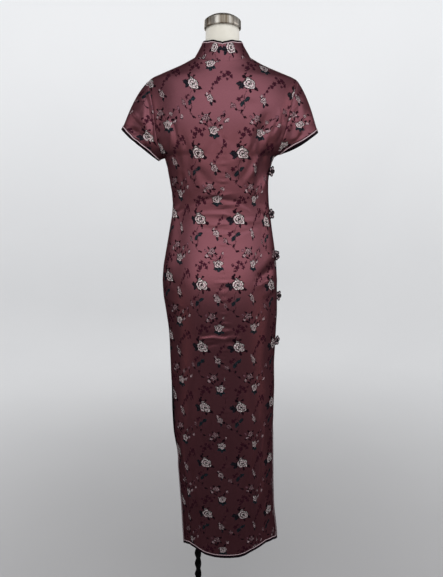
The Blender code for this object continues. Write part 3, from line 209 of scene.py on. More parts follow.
# what the folds and darts beside the side seams take up: height, left, right
SIDE_EASE = np.array((
    (230, 55, 55), (400, 50, 53), (714, 32, 32), (890, 25, 19), (1041, 40, 36), (1100, 36, 42),
    (1202, 57, 60), (1265, 45, 40), (1362, 30, 12), (1429, 23, 4), (1523, 14, 0), (1612, 0, 0),
))
# heights at which the rows of large roses lie
ROSE_ROWS = np.array((398.0, 553.0, 714.0, 880.0, 1041.0, 1202.0, 1362.0, 1523.0))
REPEAT_ACROSS = 137.0
REPEAT_DOWN = 161.0
ROSE_U = 64.0          # large rose beside the centre back, to the right
FRONT_U, FRONT_V = 22.0, 40.0  # shift of the print on the front
PRINT_DROP = (16.0, -7.0)      # how far it runs down beside the left and right side seam

# name, hand, X and height of the cuff's lowest and highest point, half depth
# of the cuff, bulge and sag; then a ring and column of the sleeve, and the
# place in the print's repeat that lies there
SLEEVES = (
    ("sleeve_left", 1.0, 167.0, 1351.0, 259.0, 1429.0, 37.0, 9.0, 3.0, 0, 51, 0.0, 0.0),
    ("sleeve_right", -1.0, -152.0, 1370.0, -246.0, 1421.0, 38.0, 8.0, 6.0, 20, 29, 43.0, 110.0),
)
COLLAR_HALF_TOP = 48.5
COLLAR_TALL = 39.0
COLLAR_THICK = 1.6
COLLAR_FIGURE = (24.0, 26.0)   # how far its roses lie from the nape and from the neckline

# how far each frog leans to the back and stands off its seat, and its turn
FROGS = {"frog_side_%d" % (k + 1): (0.55, 2.2, 0.35 * k) for k in range(5)}
FROGS.update(frog_throat=(0.0, 0.0, 0.2), frog_slant=(0.0, 0.0, 0.2))
FROG_REACH = 14.5

DEEPEST = 4.2          # creases stay this shallow, clear of the form
WAIST_EASE = 9.0       # how far the back stands off the hollow of the waist
FLARE = 5.0            # how far the back's slit edges stand out
UPPER_COUNT = 52       # rows of every panel above the armpits
BACK_COLUMNS, FRONT_COLUMNS, LAP_COLUMNS = 34, 76, 10
BACK_ROW, FRONT_ROW = 3.1, 4.2     # height of the rows below the armpits
# share of each panel's top edge that is its shoulder seam, the rest is neckline
BACK_SHOULDER, FRONT_SHOULDER, LAP_SHOULDER = 0.56, 0.40, 0.43
EDGE_STEPS = np.array((0.0, 1.1, 2.3, 3.7, 5.4, 7.6, 10.4))  # columns beside an edge
EDGE_REACH = 14        # columns or rows that the trim of an edge runs over
NO_CORNER = 99.0       # distance from a corner along an edge that has none
# width of a binding, then the distance in, height and radius of its pale cord
# and of the dark line beside it
HEM_TRIM = (8.0, (8.70, 0.35, 0.68), (10.5, 0.15, 0.6))
CUFF_TRIM = (7.0, (8.15, 0.5, 1.15), (10.0, 0.2, 0.75))
COLLAR_TRIM = (4.4, (5.4, 0.5, 0.95))
POLE_X = 73.0
TWIST_RISE, TWIST_END = 70.0, 424.0  # height of one turn of the pole, and of its last
EYE, EYE_DOWN = (0.0024, 1.31, 1.23), 9.4   # camera's place in m and tilt in degrees
FOCAL_PIXELS, PHOTO_TALL = 487.0, 577.0
# The backdrop's glow is painted light: dimmest under the dress as a painted shadow, brighter far
# out and up the wall.
PAINTED_BACKDROP_GLOW = (0.06, 0.42, 0.26)  # backdrop's glow: under the dress, far out, up the wall
STUDIO_REACH, STUDIO_BEND, STUDIO_TALL = 3.4, 0.9, 4.6  # radii and height in m


# ---------------------------------------------------------------- mathematics
def spline(table, column, height):
    """Smooth curve through one column of a table."""
    level = table[:, 0]
    value = table[:, column]
    slope = np.gradient(value, level)
    height = np.asarray(height, float)
    i = np.clip(np.searchsorted(level, height) - 1, 0, len(level) - 2)
    span = level[i + 1] - level[i]
    t = np.clip((height - level[i]) / span, 0.0, 1.0)
    h00 = 2 * t ** 3 - 3 * t ** 2 + 1
    h10 = t ** 3 - 2 * t ** 2 + t
    h01 = -2 * t ** 3 + 3 * t ** 2
    h11 = t ** 3 - t ** 2
    return (h00 * value[i] + h10 * span * slope[i]
            + h01 * value[i + 1] + h11 * span * slope[i + 1])


def linear(table, column, height):
    return np.interp(height, table[:, 0], table[:, column])


def smooth(t):
    t = np.clip(t, 0.0, 1.0)
    return t * t * (3.0 - 2.0 * t)


def unit(v):
    return v / np.maximum(np.linalg.norm(v, axis=-1, keepdims=True), 1e-9)


def half_width(height):
    return linear(SECTIONS, HALF, height)


def reach_of(side, z):
    return spline(SECTIONS, BACK if side > 0 else FRONT, z)


def run_along(line):
    """Length so far at each point of a line."""
    step = np.linalg.norm(np.diff(line, axis=0), axis=-1)
    return np.concatenate([[0.0], np.cumsum(step)])


def fold_place(x, z, x0, z0, x1, z1):
    """Where points lie on a fold: share along its line, distance beside it."""
    length = math.hypot(x1 - x0, z1 - z0)
    ux, uz = (x1 - x0) / length, (z1 - z0) / length
    return ((x - x0) * ux + (z - z0) * uz) / length, (x - x0) * -uz + (z - z0) * ux


def fold_lift(side, x, z):
    """Height of the large folds, which the solids have too."""
    lift = np.zeros(np.broadcast(x, z).shape)
    for fold_side, x0, z0, x1, z1, wide, deep in FOLDS:
        if fold_side == side:
            along, across = fold_place(x, z, x0, z0, x1, z1)
            ends = smooth((along + 0.25) / 0.45) * smooth((1.25 - along) / 0.45)
            lift = lift + deep * np.exp(-(across / wide) ** 2) * ends
    return lift


TURN = np.linspace(0.0, math.pi, 241)


def half_ring(side, z):
    """Half sections at heights z, with the share of their length so far."""
    power = spline(SECTIONS, ROUND, z)[:, None]
    x = half_width(z)[:, None] * np.sign(np.cos(TURN)) * np.abs(np.cos(TURN)) ** (2.0 / power)
    y = reach_of(side, z)[:, None] * np.abs(np.sin(TURN)) ** (2.0 / power)
    step = np.hypot(np.diff(x, axis=-1), np.diff(y, axis=-1))
    run = np.concatenate([np.zeros((len(z), 1)), np.cumsum(step, axis=-1)], -1)
    return x, y, run


def ring_point(side, share, z):
    """Point of the section at height z; share runs from the left seam (0) to
    the right seam (1) along the back (side 1) or along the front (side -1)."""
    share, z = np.broadcast_arrays(np.asarray(share, float), np.asarray(z, float))
    all_s, all_z = share.ravel(), z.ravel()
    px, py = np.empty(all_s.size), np.empty(all_s.size)
    for first in range(0, all_s.size, 4000):
        part = slice(first, first + 4000)
        x, y, run = half_ring(side, all_z[part])
        goal = all_s[part] * run[:, -1]
        i = np.clip((run < goal[:, None]).sum(1), 1, len(TURN) - 1)
        rows = np.arange(len(goal))
        low, high = run[rows, i - 1], run[rows, i]
        t = np.clip((goal - low) / np.maximum(high - low, 1e-9), 0.0, 1.0)
        px[part] = x[rows, i - 1] * (1 - t) + x[rows, i] * t
        py[part] = y[rows, i - 1] * (1 - t) + y[rows, i] * t
    px = px.reshape(share.shape) + spline(SECTIONS, SHIFT, z)
    py = py.reshape(share.shape)
    py = py + fold_lift(side, px, z) * smooth(py / 30.0)
    return px, side * py


LEVELS = np.arange(228.0, 1616.0, 4.0)
GIRTH = {side: half_ring(side, LEVELS)[2][:, -1] for side in (1.0, -1.0)}


def girth(side, z):
    """Length of one side's section, from side seam to side seam."""
    return np.interp(z, LEVELS, GIRTH[side])


def middle_shares():
    """Where the centre back seam lies round the section, at each level."""
    shares = np.linspace(0.35, 0.65, 41)
    out = []
    for z in LEVELS:
        x, _ = ring_point(1.0, shares, np.full(41, z))
        out.append(np.interp(-linear(CENTRE_BACK, 1, z), -x, shares))
    return np.array(out)


MIDDLE = middle_shares()


def centre_share(z):
    return np.interp(z, LEVELS, MIDDLE)


def hem_height(side, share):
    turn = share * 0.5 if side > 0 else 1.0 - share * 0.5
    return linear(HEM, 1, turn)


def body_point(side, share, z):
    x, y = ring_point(side, share, z)
    return np.stack([x, y, np.asarray(z, float) + 0.0 * x], -1)


def lower_point(side, share, z):
    """Body point below the armpits, with the slit edges drawn apart."""
    points = body_point(side, share, z)
    left = np.exp(-(share / 0.10) ** 2)
    right = np.exp(-((1.0 - share) / 0.10) ** 2)
    if side > 0:
        points[..., 0] -= linear(LEFT_DRAW, 1, z) * left
    parted = SLITS_PARTED[0] * smooth((LEFT_SLIT_Z - z) / 130.0) * left
    parted = parted + SLITS_PARTED[1] * smooth((RIGHT_SLIT_Z - z) / 130.0) * right
    points[..., 1] += side * parted
    return points


def grid_normals(points):
    """Unit normals of a grid, all pointing away from the Z axis."""
    normal = unit(np.cross(np.gradient(points, axis=0), np.gradient(points, axis=1)))
    away = points - points.mean(axis=(0, 1)) * (0.0, 0.0, 1.0)
    away = away * (1.0, 1.0, 0.0)
    return normal * np.sign(np.sum(normal * away))


def crease_lift(side, x, z):
    """Height of the finer creases at X and height z."""
    lift = np.zeros(x.shape)
    for k, (fold_side, x0, z0, x1, z1, bow, wide, deep) in enumerate(CREASES):
        if fold_side != side:
            continue
        along, across = fold_place(x, z, x0, z0, x1, z1)
        bend = bow * 4.0 * along * (1.0 - along) + 0.12 * wide * np.sin(9.0 * along + k)
        across = across - bend
        width = wide * (1.0 + 0.35 * np.sin(5.0 * along + 1.7 * k))
        ends = smooth((along + 0.15) / 0.40) * smooth((1.15 - along) / 0.40)
        ridge = np.exp(-(across / width) ** 2)
        shoulder = np.exp(-((across - 1.7 * width) / (1.3 * width)) ** 2)
        lift = lift + deep * (ridge - 0.45 * shoulder) * ends
    return lift


def pucker_lift(hand, gap, z):
    """Small ripples where the centre back seam gathers the cloth."""
    lift = 0.22 * np.sin(z / 2.1 + 1.3 * np.sin(z / 17.0)) * np.exp(-(gap / 7.0) ** 2)
    for k, (level, left, right, wide, deep) in enumerate(PUCKERS):
        reach = left if hand > 0 else right
        sway = level + 0.10 * gap * math.sin(2.3 * k + hand)
        lift = lift + deep * np.exp(-((z - sway) / wide) ** 2 - (gap / reach) ** 2)
    return lift


# ------------------------------------------------------- outlines of the cut
def ridge_x(hand, z):
    """X of the side seam or shoulder ridge."""
    return spline(SECTIONS, SHIFT, z) + hand * half_width(z)


NECK_HALF = float(abs(ridge_x(1.0, NECK_SIDE_Z)))


def neck_back(x):
    return NAPE_Z + (NECK_SIDE_Z - NAPE_Z) * np.abs(x / NECK_HALF) ** 2.2


def neck_front(x):
    t = np.clip(np.abs(x) / NECK_HALF, 0.0, 1.0)
    return THROAT_Z + (NECK_SIDE_Z - THROAT_Z) * (1.0 - (1.0 - t ** 2.3) ** 0.5)


def share_of(side, x, z):
    """Share round the section at which the given X lies."""
    shares = np.linspace(0.0, 1.0, 201)
    x, z = np.atleast_1d(x), np.atleast_1d(z)
    along, _ = ring_point(side, shares[None] + 0.0 * z[:, None], z[:, None] + 0.0 * shares)
    return np.array([np.interp(-a, -line, shares) for a, line in zip(x, along)])


def coons(bottom, top, first, last, u, v):
    """Patch filled in between four edges."""
    u = u[:, None, None]
    v = v[None, :, None]
    ruled = (1 - v) * bottom[:, None] + v * top[:, None]
    ruled = ruled + (1 - u) * first[None] + u * last[None]
    corner = (1 - u) * (1 - v) * bottom[0] + u * (1 - v) * bottom[-1]
    corner = corner + (1 - u) * v * top[0] + u * v * top[-1]
    return ruled - corner


def armhole_curve(side, hand, column, z):
    across = linear(ARMHOLE, column, z)
    share = share_of(side, spline(SECTIONS, SHIFT, z) + hand * across * half_width(z), z)
    share = np.where(across >= 1.0, 0.0 if hand > 0 else 1.0, share)
    return np.stack([share, z], -1)


def opening_curve(column, z):
    return np.stack([linear(OPENING, column, z), z], -1)


def top_curve(side, hand, u, split, end_x):
    """Shoulder seam from the tip to the neck, then the neckline to end_x."""
    on_ridge = u[u < split]
    z = TIP_Z + (NECK_SIDE_Z - TIP_Z) * on_ridge / split
    ridge = np.stack([np.full(len(z), 0.0 if hand > 0 else 1.0), z], -1)
    start = float(ridge_x(hand, NECK_SIDE_Z))
    x = start + (end_x - start) * (1.0 - np.cos(np.linspace(0.0, math.pi / 2.0, 181)))
    rise = neck_back(x) if side > 0 else neck_front(x)
    share = share_of(side, x, rise)
    line = body_point(side, share, rise)
    run = run_along(line)
    nx = np.interp((u[u >= split] - split) / (1.0 - split) * run[-1], run, x)
    nz = neck_back(nx) if side > 0 else neck_front(nx)
    return np.concatenate([ridge, np.stack([share_of(side, nx, nz), nz], -1)])


def columns(width, count):
    """Distances across a panel of the given width, closer at both edges."""
    edge = EDGE_STEPS * min(1.0, width / 60.0)
    step = (width - 2 * edge[-1]) / count
    middle = edge[-1] + step * np.arange(1, count)
    return np.concatenate([edge, middle, (width - edge)[::-1]])


# -------------------------------------------------------------------- panels
def make_sheet(side, span, count, lower, flat, dip=None):
    """Grid of a panel from hem to shoulder. span gives its first and last
    share at a height, lower the row levels and flat the patch above."""
    share_rows, z_rows = [], []
    for level in lower[::-1]:
        z0 = BUST_Z - (BUST_Z - HEM_MEAN) * level
        first, last = span(z0)
        length = float(girth(side, z0))
        width = abs(last - first) * length
        share = first + (last - first) * columns(width, count) / width
        drop = level if dip is None else level + dip * (1.0 - level)
        share_rows.append(share)
        z_rows.append(BUST_Z - (BUST_Z - hem_height(side, share)) * drop)
    share = np.array(share_rows)
    z = np.array(z_rows)
    points = lower_point(side, share, z)
    flat = np.swapaxes(flat, 0, 1)[1:]
    high = body_point(side, flat[..., 0], flat[..., 1])
    high[-1, :, 1] = np.where(np.abs(high[-1, :, 1]) < 0.2, side * 0.2, high[-1, :, 1])
    return {
        "side": side,
        "points": np.concatenate([points, high]),
        "share": np.concatenate([share, flat[..., 0]]),
        "z": np.concatenate([z, flat[..., 1]]),
    }


def dress_up(sheet, extra=0.0, sink=0.0):
    """Lay the creases on a panel and store its normals."""
    points = sheet["points"]
    normals = grid_normals(points)
    calm = smooth(np.abs(points[..., 1]) / 22.0)
    lift = crease_lift(sheet["side"], points[..., 0], points[..., 2]) * calm
    lift = np.where(lift < 0.0, DEEPEST * np.tanh(lift / DEEPEST), lift)
    points = points + normals * (lift + extra - sink)[..., None]
    sheet["points"] = points
    sheet["normals"] = grid_normals(points)
    return sheet


def seam_groove(gap):
    return -0.9 * np.exp(-(gap / 1.5) ** 2) + 0.25 * np.exp(-((gap - 4.2) / 2.2) ** 2)


def lower_levels(step):
    return np.linspace(0.0, 1.0, int((BUST_Z - HEM_LOW) / step) + 1)


UPPER = np.linspace(0.0, 1.0, UPPER_COUNT + 1)


def back_half(hand):
    """One back half, from its side seam to the centre back."""
    def span(z):
        middle = float(centre_share(z))
        return (0.0, middle) if hand > 0 else (1.0, middle)

    first, last = span(BUST_Z)
    width = abs(last - first) * float(girth(1.0, BUST_Z))
    u = columns(width, BACK_COLUMNS) / width
    bottom = np.stack([first + (last - first) * u, np.full(u.shape, BUST_Z)], -1)
    arm = armhole_curve(1.0, hand, ARM_BACK, BUST_Z + (TIP_Z - BUST_Z) * UPPER)
    z = BUST_Z + (NAPE_Z - BUST_Z) * UPPER
    middle = np.stack([centre_share(z), z], -1)
    top = top_curve(1.0, hand, u, BACK_SHOULDER, 0.0)
    top[-1] = middle[-1]
    flat = coons(bottom, top, arm, middle, u, UPPER)
    sheet = make_sheet(1.0, span, BACK_COLUMNS, lower_levels(BACK_ROW), flat)
    sheet["points"][:, -1, 0] -= hand * 0.05
    z, length = sheet["z"], girth(1.0, sheet["z"])
    gap = np.abs(sheet["share"] - centre_share(z)) * length
    edge = np.abs(sheet["share"] - first) * length
    slit = LEFT_SLIT_Z if hand > 0 else RIGHT_SLIT_Z
    flare = FLARE * np.clip(1.0 - edge / 17.0, 0.0, 1.0) ** 1.3 - 2.6 * smooth(1.0 - edge / 48.0)
    hollow = np.exp(-((z - 1255.0) / 88.0) ** 2 - (gap / 80.0) ** 2)
    faint = 0.04 + 0.12 * smooth((1330.0 - z) / 160.0)
    extra = pucker_lift(hand, gap, z) + flare * smooth((slit - 8.0 - z) / 60.0)
    extra = extra + WAIST_EASE * hollow - faint * np.exp(-(gap / 1.2) ** 2)
    k = 0 if hand > 0 else 1
    ease = linear(SIDE_EASE, k + 1, z) * smooth((gap - 66.0) / 54.0)
    sheet["u"] = -hand * (gap + (linear(TAKEN_IN, k + 1, z) + ease))
    sheet["v"] = figure_height(z) - PRINT_DROP[k] * smooth((gap - 60.0) / 65.0)
    if hand < 0:
        sheet["v"] += 10.0 * smooth((gap - 120.0) / 50.0) * smooth((z - 1450.0) / 50.0)
    return dress_up(sheet, extra)


def figure_height(z):
    """Height in the print's own repeat at height z on the dress."""
    v = np.interp(z, ROSE_ROWS, REPEAT_DOWN * np.arange(len(ROSE_ROWS)))
    v = v + np.minimum(z - ROSE_ROWS[0], 0.0) * 1.03
    return v + np.maximum(z - ROSE_ROWS[-1], 0.0)


def front_figure(sheet):
    """Lay the print on a front panel."""
    sheet["u"] = (sheet["share"] - 0.5) * girth(-1.0, sheet["z"]) + FRONT_U
    sheet["v"] = figure_height(sheet["z"]) + FRONT_V


def front_whole():
    """The whole front, up to its slanting closing."""
    width = float(girth(-1.0, BUST_Z))
    u = columns(width, FRONT_COLUMNS) / width
    dip = (BUST_Z - OPENING_END_Z) / (BUST_Z - FRONT_HEM) * np.exp(-((1.0 - u) / 0.16) ** 2)
    bottom = np.stack([u, BUST_Z - (BUST_Z - hem_height(-1.0, u)) * dip], -1)
    arm = armhole_curve(-1.0, 1.0, ARM_FRONT, BUST_Z + (TIP_Z - BUST_Z) * UPPER)
    slant = opening_curve(SLANT, OPENING_END_Z + (THROAT_Z - OPENING_END_Z) * UPPER)
    slant[0] = bottom[-1]
    top = top_curve(-1.0, 1.0, u, FRONT_SHOULDER, 0.0)
    slant[-1] = top[-1]
    flat = coons(bottom, top, arm, slant, u, UPPER)
    lower = lower_levels(FRONT_ROW)
    sheet = make_sheet(-1.0, lambda z: (0.0, 1.0), FRONT_COLUMNS, lower, flat, dip)
    front_figure(sheet)
    return dress_up(sheet)


def underlap():
    """The right front piece, under the closing."""
    def span(z):
        return 1.0, 1.0 - UNDERLAP_WIDE / float(girth(-1.0, z))

    lower = lower_levels(FRONT_ROW)
    lower = lower[lower <= (BUST_Z - RIGHT_SLIT_Z) / (BUST_Z - HEM_LOW)]
    u = columns(UNDERLAP_WIDE, LAP_COLUMNS) / UNDERLAP_WIDE
    first, last = span(BUST_Z)
    bottom = np.stack([first + (last - first) * u, np.full(u.shape, BUST_Z)], -1)
    arm = armhole_curve(-1.0, -1.0, ARM_FRONT, BUST_Z + (TIP_Z - BUST_Z) * UPPER)
    inner = opening_curve(INNER, BUST_Z + (THROAT_Z - BUST_Z) * UPPER)
    inner[0] = bottom[-1]
    end_x, _ = ring_point(-1.0, inner[-1:, 0], inner[-1:, 1])
    top = top_curve(-1.0, -1.0, u, LAP_SHOULDER, float(end_x[0]))
    inner[-1] = top[-1]
    flat = coons(bottom, top, arm, inner, u, UPPER)
    sheet = make_sheet(-1.0, span, LAP_COLUMNS, lower, flat)
    z = sheet["z"]
    shown = (sheet["share"] - linear(OPENING, SLANT, z)) * girth(-1.0, z)
    high = UNDERLAP_DROP * (1.0 - smooth((shown - 2.0) / 26.0))
    low = UNDERLAP_SKIRT + (UNDERLAP_DROP - UNDERLAP_SKIRT) * smooth((z - 1310.0) / 30.0)
    blend = smooth((z - 1350.0) / 24.0)
    front_figure(sheet)
    return dress_up(sheet, sink=low * (1.0 - blend) + high * blend)


# ----------------------------------------------------------------- meshes
def link(name, verts, faces, materials):
    """Smooth-shaded object from vertices in mm."""
    mesh = bpy.data.meshes.new(name)
    mesh.from_pydata((np.asarray(verts, float) * MM).tolist(), [], faces)
    mesh.validate()
    mesh.polygons.foreach_set("use_smooth", [True] * len(mesh.polygons))
    for mat in materials:
        mesh.materials.append(mat)
    obj = bpy.data.objects.new(name, mesh)
    bpy.context.scene.collection.objects.link(obj)
    return obj


def store(obj, values):
    """Keep the cloth's own coordinates, in mm, on each vertex."""
    layer = obj.data.attributes.new("cloth", "FLOAT_VECTOR", "POINT")
    layer.data.foreach_set("vector", np.asarray(values, np.float32).ravel())


def grid_faces(rows, count, wrap=False, flip=False):
    faces = []
    for i in range(rows - 1):
        for j in range(count if wrap else count - 1):
            n = (j + 1) % count
            loop = [i * count + j, i * count + n, (i + 1) * count + n, (i + 1) * count + j]
            faces.append(loop[::-1] if flip else loop)
    return faces


def capped_faces(rows, count):
    """Faces of a tube of rings, with both ends closed."""
    ends = [list(range(count))[::-1], [(rows - 1) * count + j for j in range(count)]]
    return grid_faces(rows, count, wrap=True) + ends


def skin(name, points, outward, materials, cloth, wrap=False):
    """Grid mesh whose faces point along outward."""
    rows, count = points.shape[:2]
    a = points[rows // 2, count // 2]
    b = points[rows // 2, (count // 2 + 1) % count]
    c = points[rows // 2 + 1, count // 2]
    flip = float(np.dot(np.cross(b - a, c - a), outward[rows // 2, count // 2])) < 0.0
    obj = link(name, points.reshape(-1, 3), grid_faces(rows, count, wrap, flip), materials)
    store(obj, cloth)
    return obj


def thicken(obj, thick):
    """Give a shell its thickness, with the second material inside."""
    shell = obj.modifiers.new("cloth", "SOLIDIFY")
    shell.thickness = thick * MM
    shell.offset = -1.0
    shell.material_offset = 1
    shell.use_even_offset = False
    graph = bpy.context.evaluated_depsgraph_get()
    mesh = bpy.data.meshes.new_from_object(obj.evaluated_get(graph), depsgraph=graph)
    old = obj.data
    obj.modifiers.clear()
    obj.data = mesh
    bpy.data.meshes.remove(old)
    mesh.set_sharp_from_angle(angle=math.radians(50.0))


def join(name, objs):
    """One object from several; their materials stay."""
    bm = bmesh.new()
    slots = []
    for obj in objs:
        offset = len(slots)
        slots.extend(obj.data.materials)
        first = len(bm.faces)
        bm.from_mesh(obj.data)
        bm.faces.ensure_lookup_table()
        for face in bm.faces[first:]:
            face.material_index += offset
    mesh = bpy.data.meshes.new(name)
    bm.to_mesh(mesh)
    bm.free()
    seen = []
    for mat in slots:
        if mat not in seen:
            seen.append(mat)
            mesh.materials.append(mat)
    index = np.empty(len(mesh.polygons), np.int32)
    mesh.polygons.foreach_get("material_index", index)
    index = np.array([seen.index(mat) for mat in slots], np.int32)[index]
    mesh.polygons.foreach_set("material_index", index)
    made = bpy.data.objects.new(name, mesh)
    bpy.context.scene.collection.objects.link(made)
    for obj in objs:
        bpy.data.objects.remove(obj, do_unlink=True)
    return made


def tube(name, path, radius, mat, sides=8, closed=False, normals=None):
    """Round cord along a path; a radius may be given for each point."""
    path = np.asarray(path, float)
    count = len(path)
    radius = np.broadcast_to(np.asarray(radius, float), (count,))
    ahead = np.roll(path, -1, 0) - np.roll(path, 1, 0)
    if not closed:
        ahead[0] = path[1] - path[0]
        ahead[-1] = path[-1] - path[-2]
    ahead = unit(ahead)
    if normals is None:
        frames = []
        guide = np.array([0.3, 0.2, 0.93])
        for t in ahead:
            guide = unit(guide - t * np.dot(guide, t))
            frames.append(guide)
        normals = np.array(frames)
    side = unit(np.cross(ahead, normals))
    up = unit(np.cross(side, ahead))
    turn = 2.0 * math.pi * np.arange(sides) / sides
    ring = path[:, None] + radius[:, None, None] * (
        np.cos(turn)[None, :, None] * side[:, None] + np.sin(turn)[None, :, None] * up[:, None])
    if closed:
        faces = grid_faces(count, sides, wrap=True)
        last = (count - 1) * sides
        for j in range(sides):
            n = (j + 1) % sides
            faces.append([last + j, last + n, n, j])
    else:
        faces = capped_faces(count, sides)
    obj = link(name, ring.reshape(-1, 3), faces, [mat])
    cloth = np.zeros((count, sides, 3))
    cloth[..., 0] = run_along(path)[:, None]
    cloth[..., 1] = radius[:, None] * turn[None]
    store(obj, cloth)
    return obj


# ------------------------------------------------------------------- bindings
def march(lines, normals, distance):
    """Point and normal at a distance from the start of each line."""
    step = np.linalg.norm(np.diff(lines, axis=1), axis=-1)
    run = np.concatenate([np.zeros((len(lines), 1)), np.cumsum(step, axis=1)], 1)
    distance = np.broadcast_to(np.asarray(distance, float), (len(lines),))
    rows = np.arange(len(lines))
    i = np.clip((run < distance[:, None]).sum(1), 1, run.shape[1] - 1)
    t = (distance - run[rows, i - 1]) / np.maximum(run[rows, i] - run[rows, i - 1], 1e-9)
    t = np.clip(t, -50.0, 1.0)[:, None]
    point = lines[rows, i - 1] * (1 - t) + lines[rows, i] * t
    tt = np.clip(t, 0.0, 1.0)
    normal = unit(normals[rows, i - 1] * (1 - tt) + normals[rows, i] * tt)
    return point, normal


def edge_band(name, lines, normals, wide, limits):
    """Satin binding folded over a cloth edge, along a profile of (distance
    in, height over it) that runs 7 points outside and 7 inside."""
    profile = ((wide, 0.06), (wide - 0.35, 0.55), (wide - 1.2, 0.82), (wide * 0.5, 0.95),
               (1.0, 0.9), (0.1, 0.7), (-0.45, 0.15), (-0.55, -0.5), (-0.45, -1.15),
               (0.1, -1.7), (1.0, -1.9), (wide * 0.5, -1.95), (wide - 0.8, -1.8),
               (wide - 0.1, -1.05))
    rings = []
    for d, h in profile:
        point, normal = march(lines, normals, np.minimum(d, limits) if d > 0 else d)
        rings.append(point + normal * h)
    grid = np.array(rings)
    cloth = np.zeros(grid.shape)
    cloth[..., 0] = run_along(lines[:, 0])
    cloth[..., 1] = run_along(np.array(profile))[:, None]
    outside = np.where(np.arange(len(grid))[:, None, None] < 7, 1.0, -1.0)
    return skin(name, grid, normals[:, 0] * outside, [BINDING], cloth)


def edge_cord(name, lines, normals, distance, high, radius, limits, mat, closed=False):
    """Cord laid beside a binding."""
    keep = limits > distance + 0.2
    point, normal = march(lines[keep], normals[keep], distance)
    return tube(name, point + normal * high, radius, mat, closed=closed, normals=normal)


def edge_lines(sheet, edge, rows):
    """Lines running in from one edge of a panel, with their normals."""
    pick = {"hem": np.s_[:EDGE_REACH], "first": np.s_[:rows, :EDGE_REACH],
            "last": np.s_[:rows, :-EDGE_REACH - 1:-1]}[edge]
    lines, normals = sheet["points"][pick], sheet["normals"][pick]
    if edge == "hem":
        return np.swapaxes(lines, 0, 1), np.swapaxes(normals, 0, 1)
    return lines, normals


# ------------------------------------------------------------------ materials
def rgb(red, green, blue):
    """sRGB 0-255 to linear."""
    out = []
    for c in (red, green, blue):
        c /= 255.0
        out.append(c / 12.92 if c <= 0.04045 else ((c + 0.055) / 1.055) ** 2.4)
    return (*out, 1.0)


class Net:
    """Short names for making shader nodes."""

    def __init__(self, tree):
        self.tree = tree

    def put(self, sockets, index, value):
        if value is None:
            return
        if isinstance(value, bpy.types.NodeSocket):
            self.tree.links.new(value, sockets[index])
        else:
            sockets[index].default_value = value

    def node(self, kind, inputs=(), **props):
        made = self.tree.nodes.new(kind)
        for key, value in props.items():
            setattr(made, key, value)
        self.fill(made, dict(inputs))
        return made

    def fill(self, made, inputs):
        for index, value in inputs.items():
            self.put(made.inputs, index, value)

    def math(self, op, a, b=None, c=None, clamp=False):
        return self.node("ShaderNodeMath", {0: a, 1: b, 2: c}, operation=op,
                         use_clamp=clamp).outputs[0]

    def mul(self, a, b, clamp=False):
        return self.math("MULTIPLY", a, b, clamp=clamp)

    def mad(self, a, b, c):
        """a times b, plus c."""
        return self.math("MULTIPLY_ADD", a, b, c)

    def sub(self, a, b):
        return self.math("SUBTRACT", a, b)

    def most(self, a, b):
        return self.math("MAXIMUM", a, b)

    def vec(self, op, a, b=None):
        made = self.node("ShaderNodeVectorMath", {0: a, 1: b}, operation=op)
        return made.outputs[1] if op == "LENGTH" else made.outputs[0]

    def step(self, x, low, high, start=0.0, end=1.0):
        """Soft step of x between low and high."""
        return self.node("ShaderNodeMapRange", {0: x, 1: low, 2: high, 3: start, 4: end},
                         interpolation_type="SMOOTHSTEP").outputs[0]

    def mix(self, factor, a, b):
        return self.node("ShaderNodeMix", {0: factor, 6: a, 7: b}, data_type="RGBA").outputs[2]

    def mix_vec(self, factor, a, b):
        return self.node("ShaderNodeMix", {0: factor, 4: a, 5: b}, data_type="VECTOR").outputs[1]

    def split(self, v):
        return self.node("ShaderNodeSeparateXYZ", {0: v}).outputs

    def join(self, x, y, z=0.0):
        return self.node("ShaderNodeCombineXYZ", {0: x, 1: y, 2: z}).outputs[0]

    def noise(self, vector, scale, detail=2.0, rough=0.5):
        return self.node("ShaderNodeTexNoise", {"Vector": vector, "Scale": scale,
                                                "Detail": detail, "Roughness": rough}).outputs

    def cells(self, vector):
        """Distance to the edges of flat cells."""
        made = self.node("ShaderNodeTexVoronoi", {"Vector": vector, "Scale": 1.0},
                         voronoi_dimensions="2D", feature="DISTANCE_TO_EDGE")
        return made.outputs["Distance"]

    def shaken(self, p, noise, reach):
        """Places moved about by a noise's colour."""
        noise = self.vec("SUBTRACT", noise, (0.5, 0.5, 0.5))
        return self.vec("ADD", p, self.vec("MULTIPLY", noise, (reach, reach, 0.0)))

    def bump(self, height, strength, distance):
        return self.node("ShaderNodeBump", {"Strength": strength, "Distance": distance,
                                            "Height": height}).outputs[0]

    def object_place(self):
        return self.node("ShaderNodeTexCoord").outputs["Object"]

    def nearest(self, p, places):
        """Local, unit-sized x and y in the nearest of several motifs, its
        kind in thousandths, and how far out that is."""
        best = None
        for x, y, turn, long, wide, kind in places:
            made = self.node("ShaderNodeMapping", {
                0: p, 1: (x, y, -0.001 * kind), 2: (0.0, 0.0, math.radians(turn)),
                3: (long, wide, 1.0)}, vector_type="TEXTURE")
            here, far = made.outputs[0], self.vec("LENGTH", made.outputs[0])
            if best is None:
                best, least = here, far
                continue
            nearer = self.math("LESS_THAN", far, least)
            best = self.mix_vec(nearer, best, here)
            least = self.math("MINIMUM", far, least)
        return (*self.split(best), least)


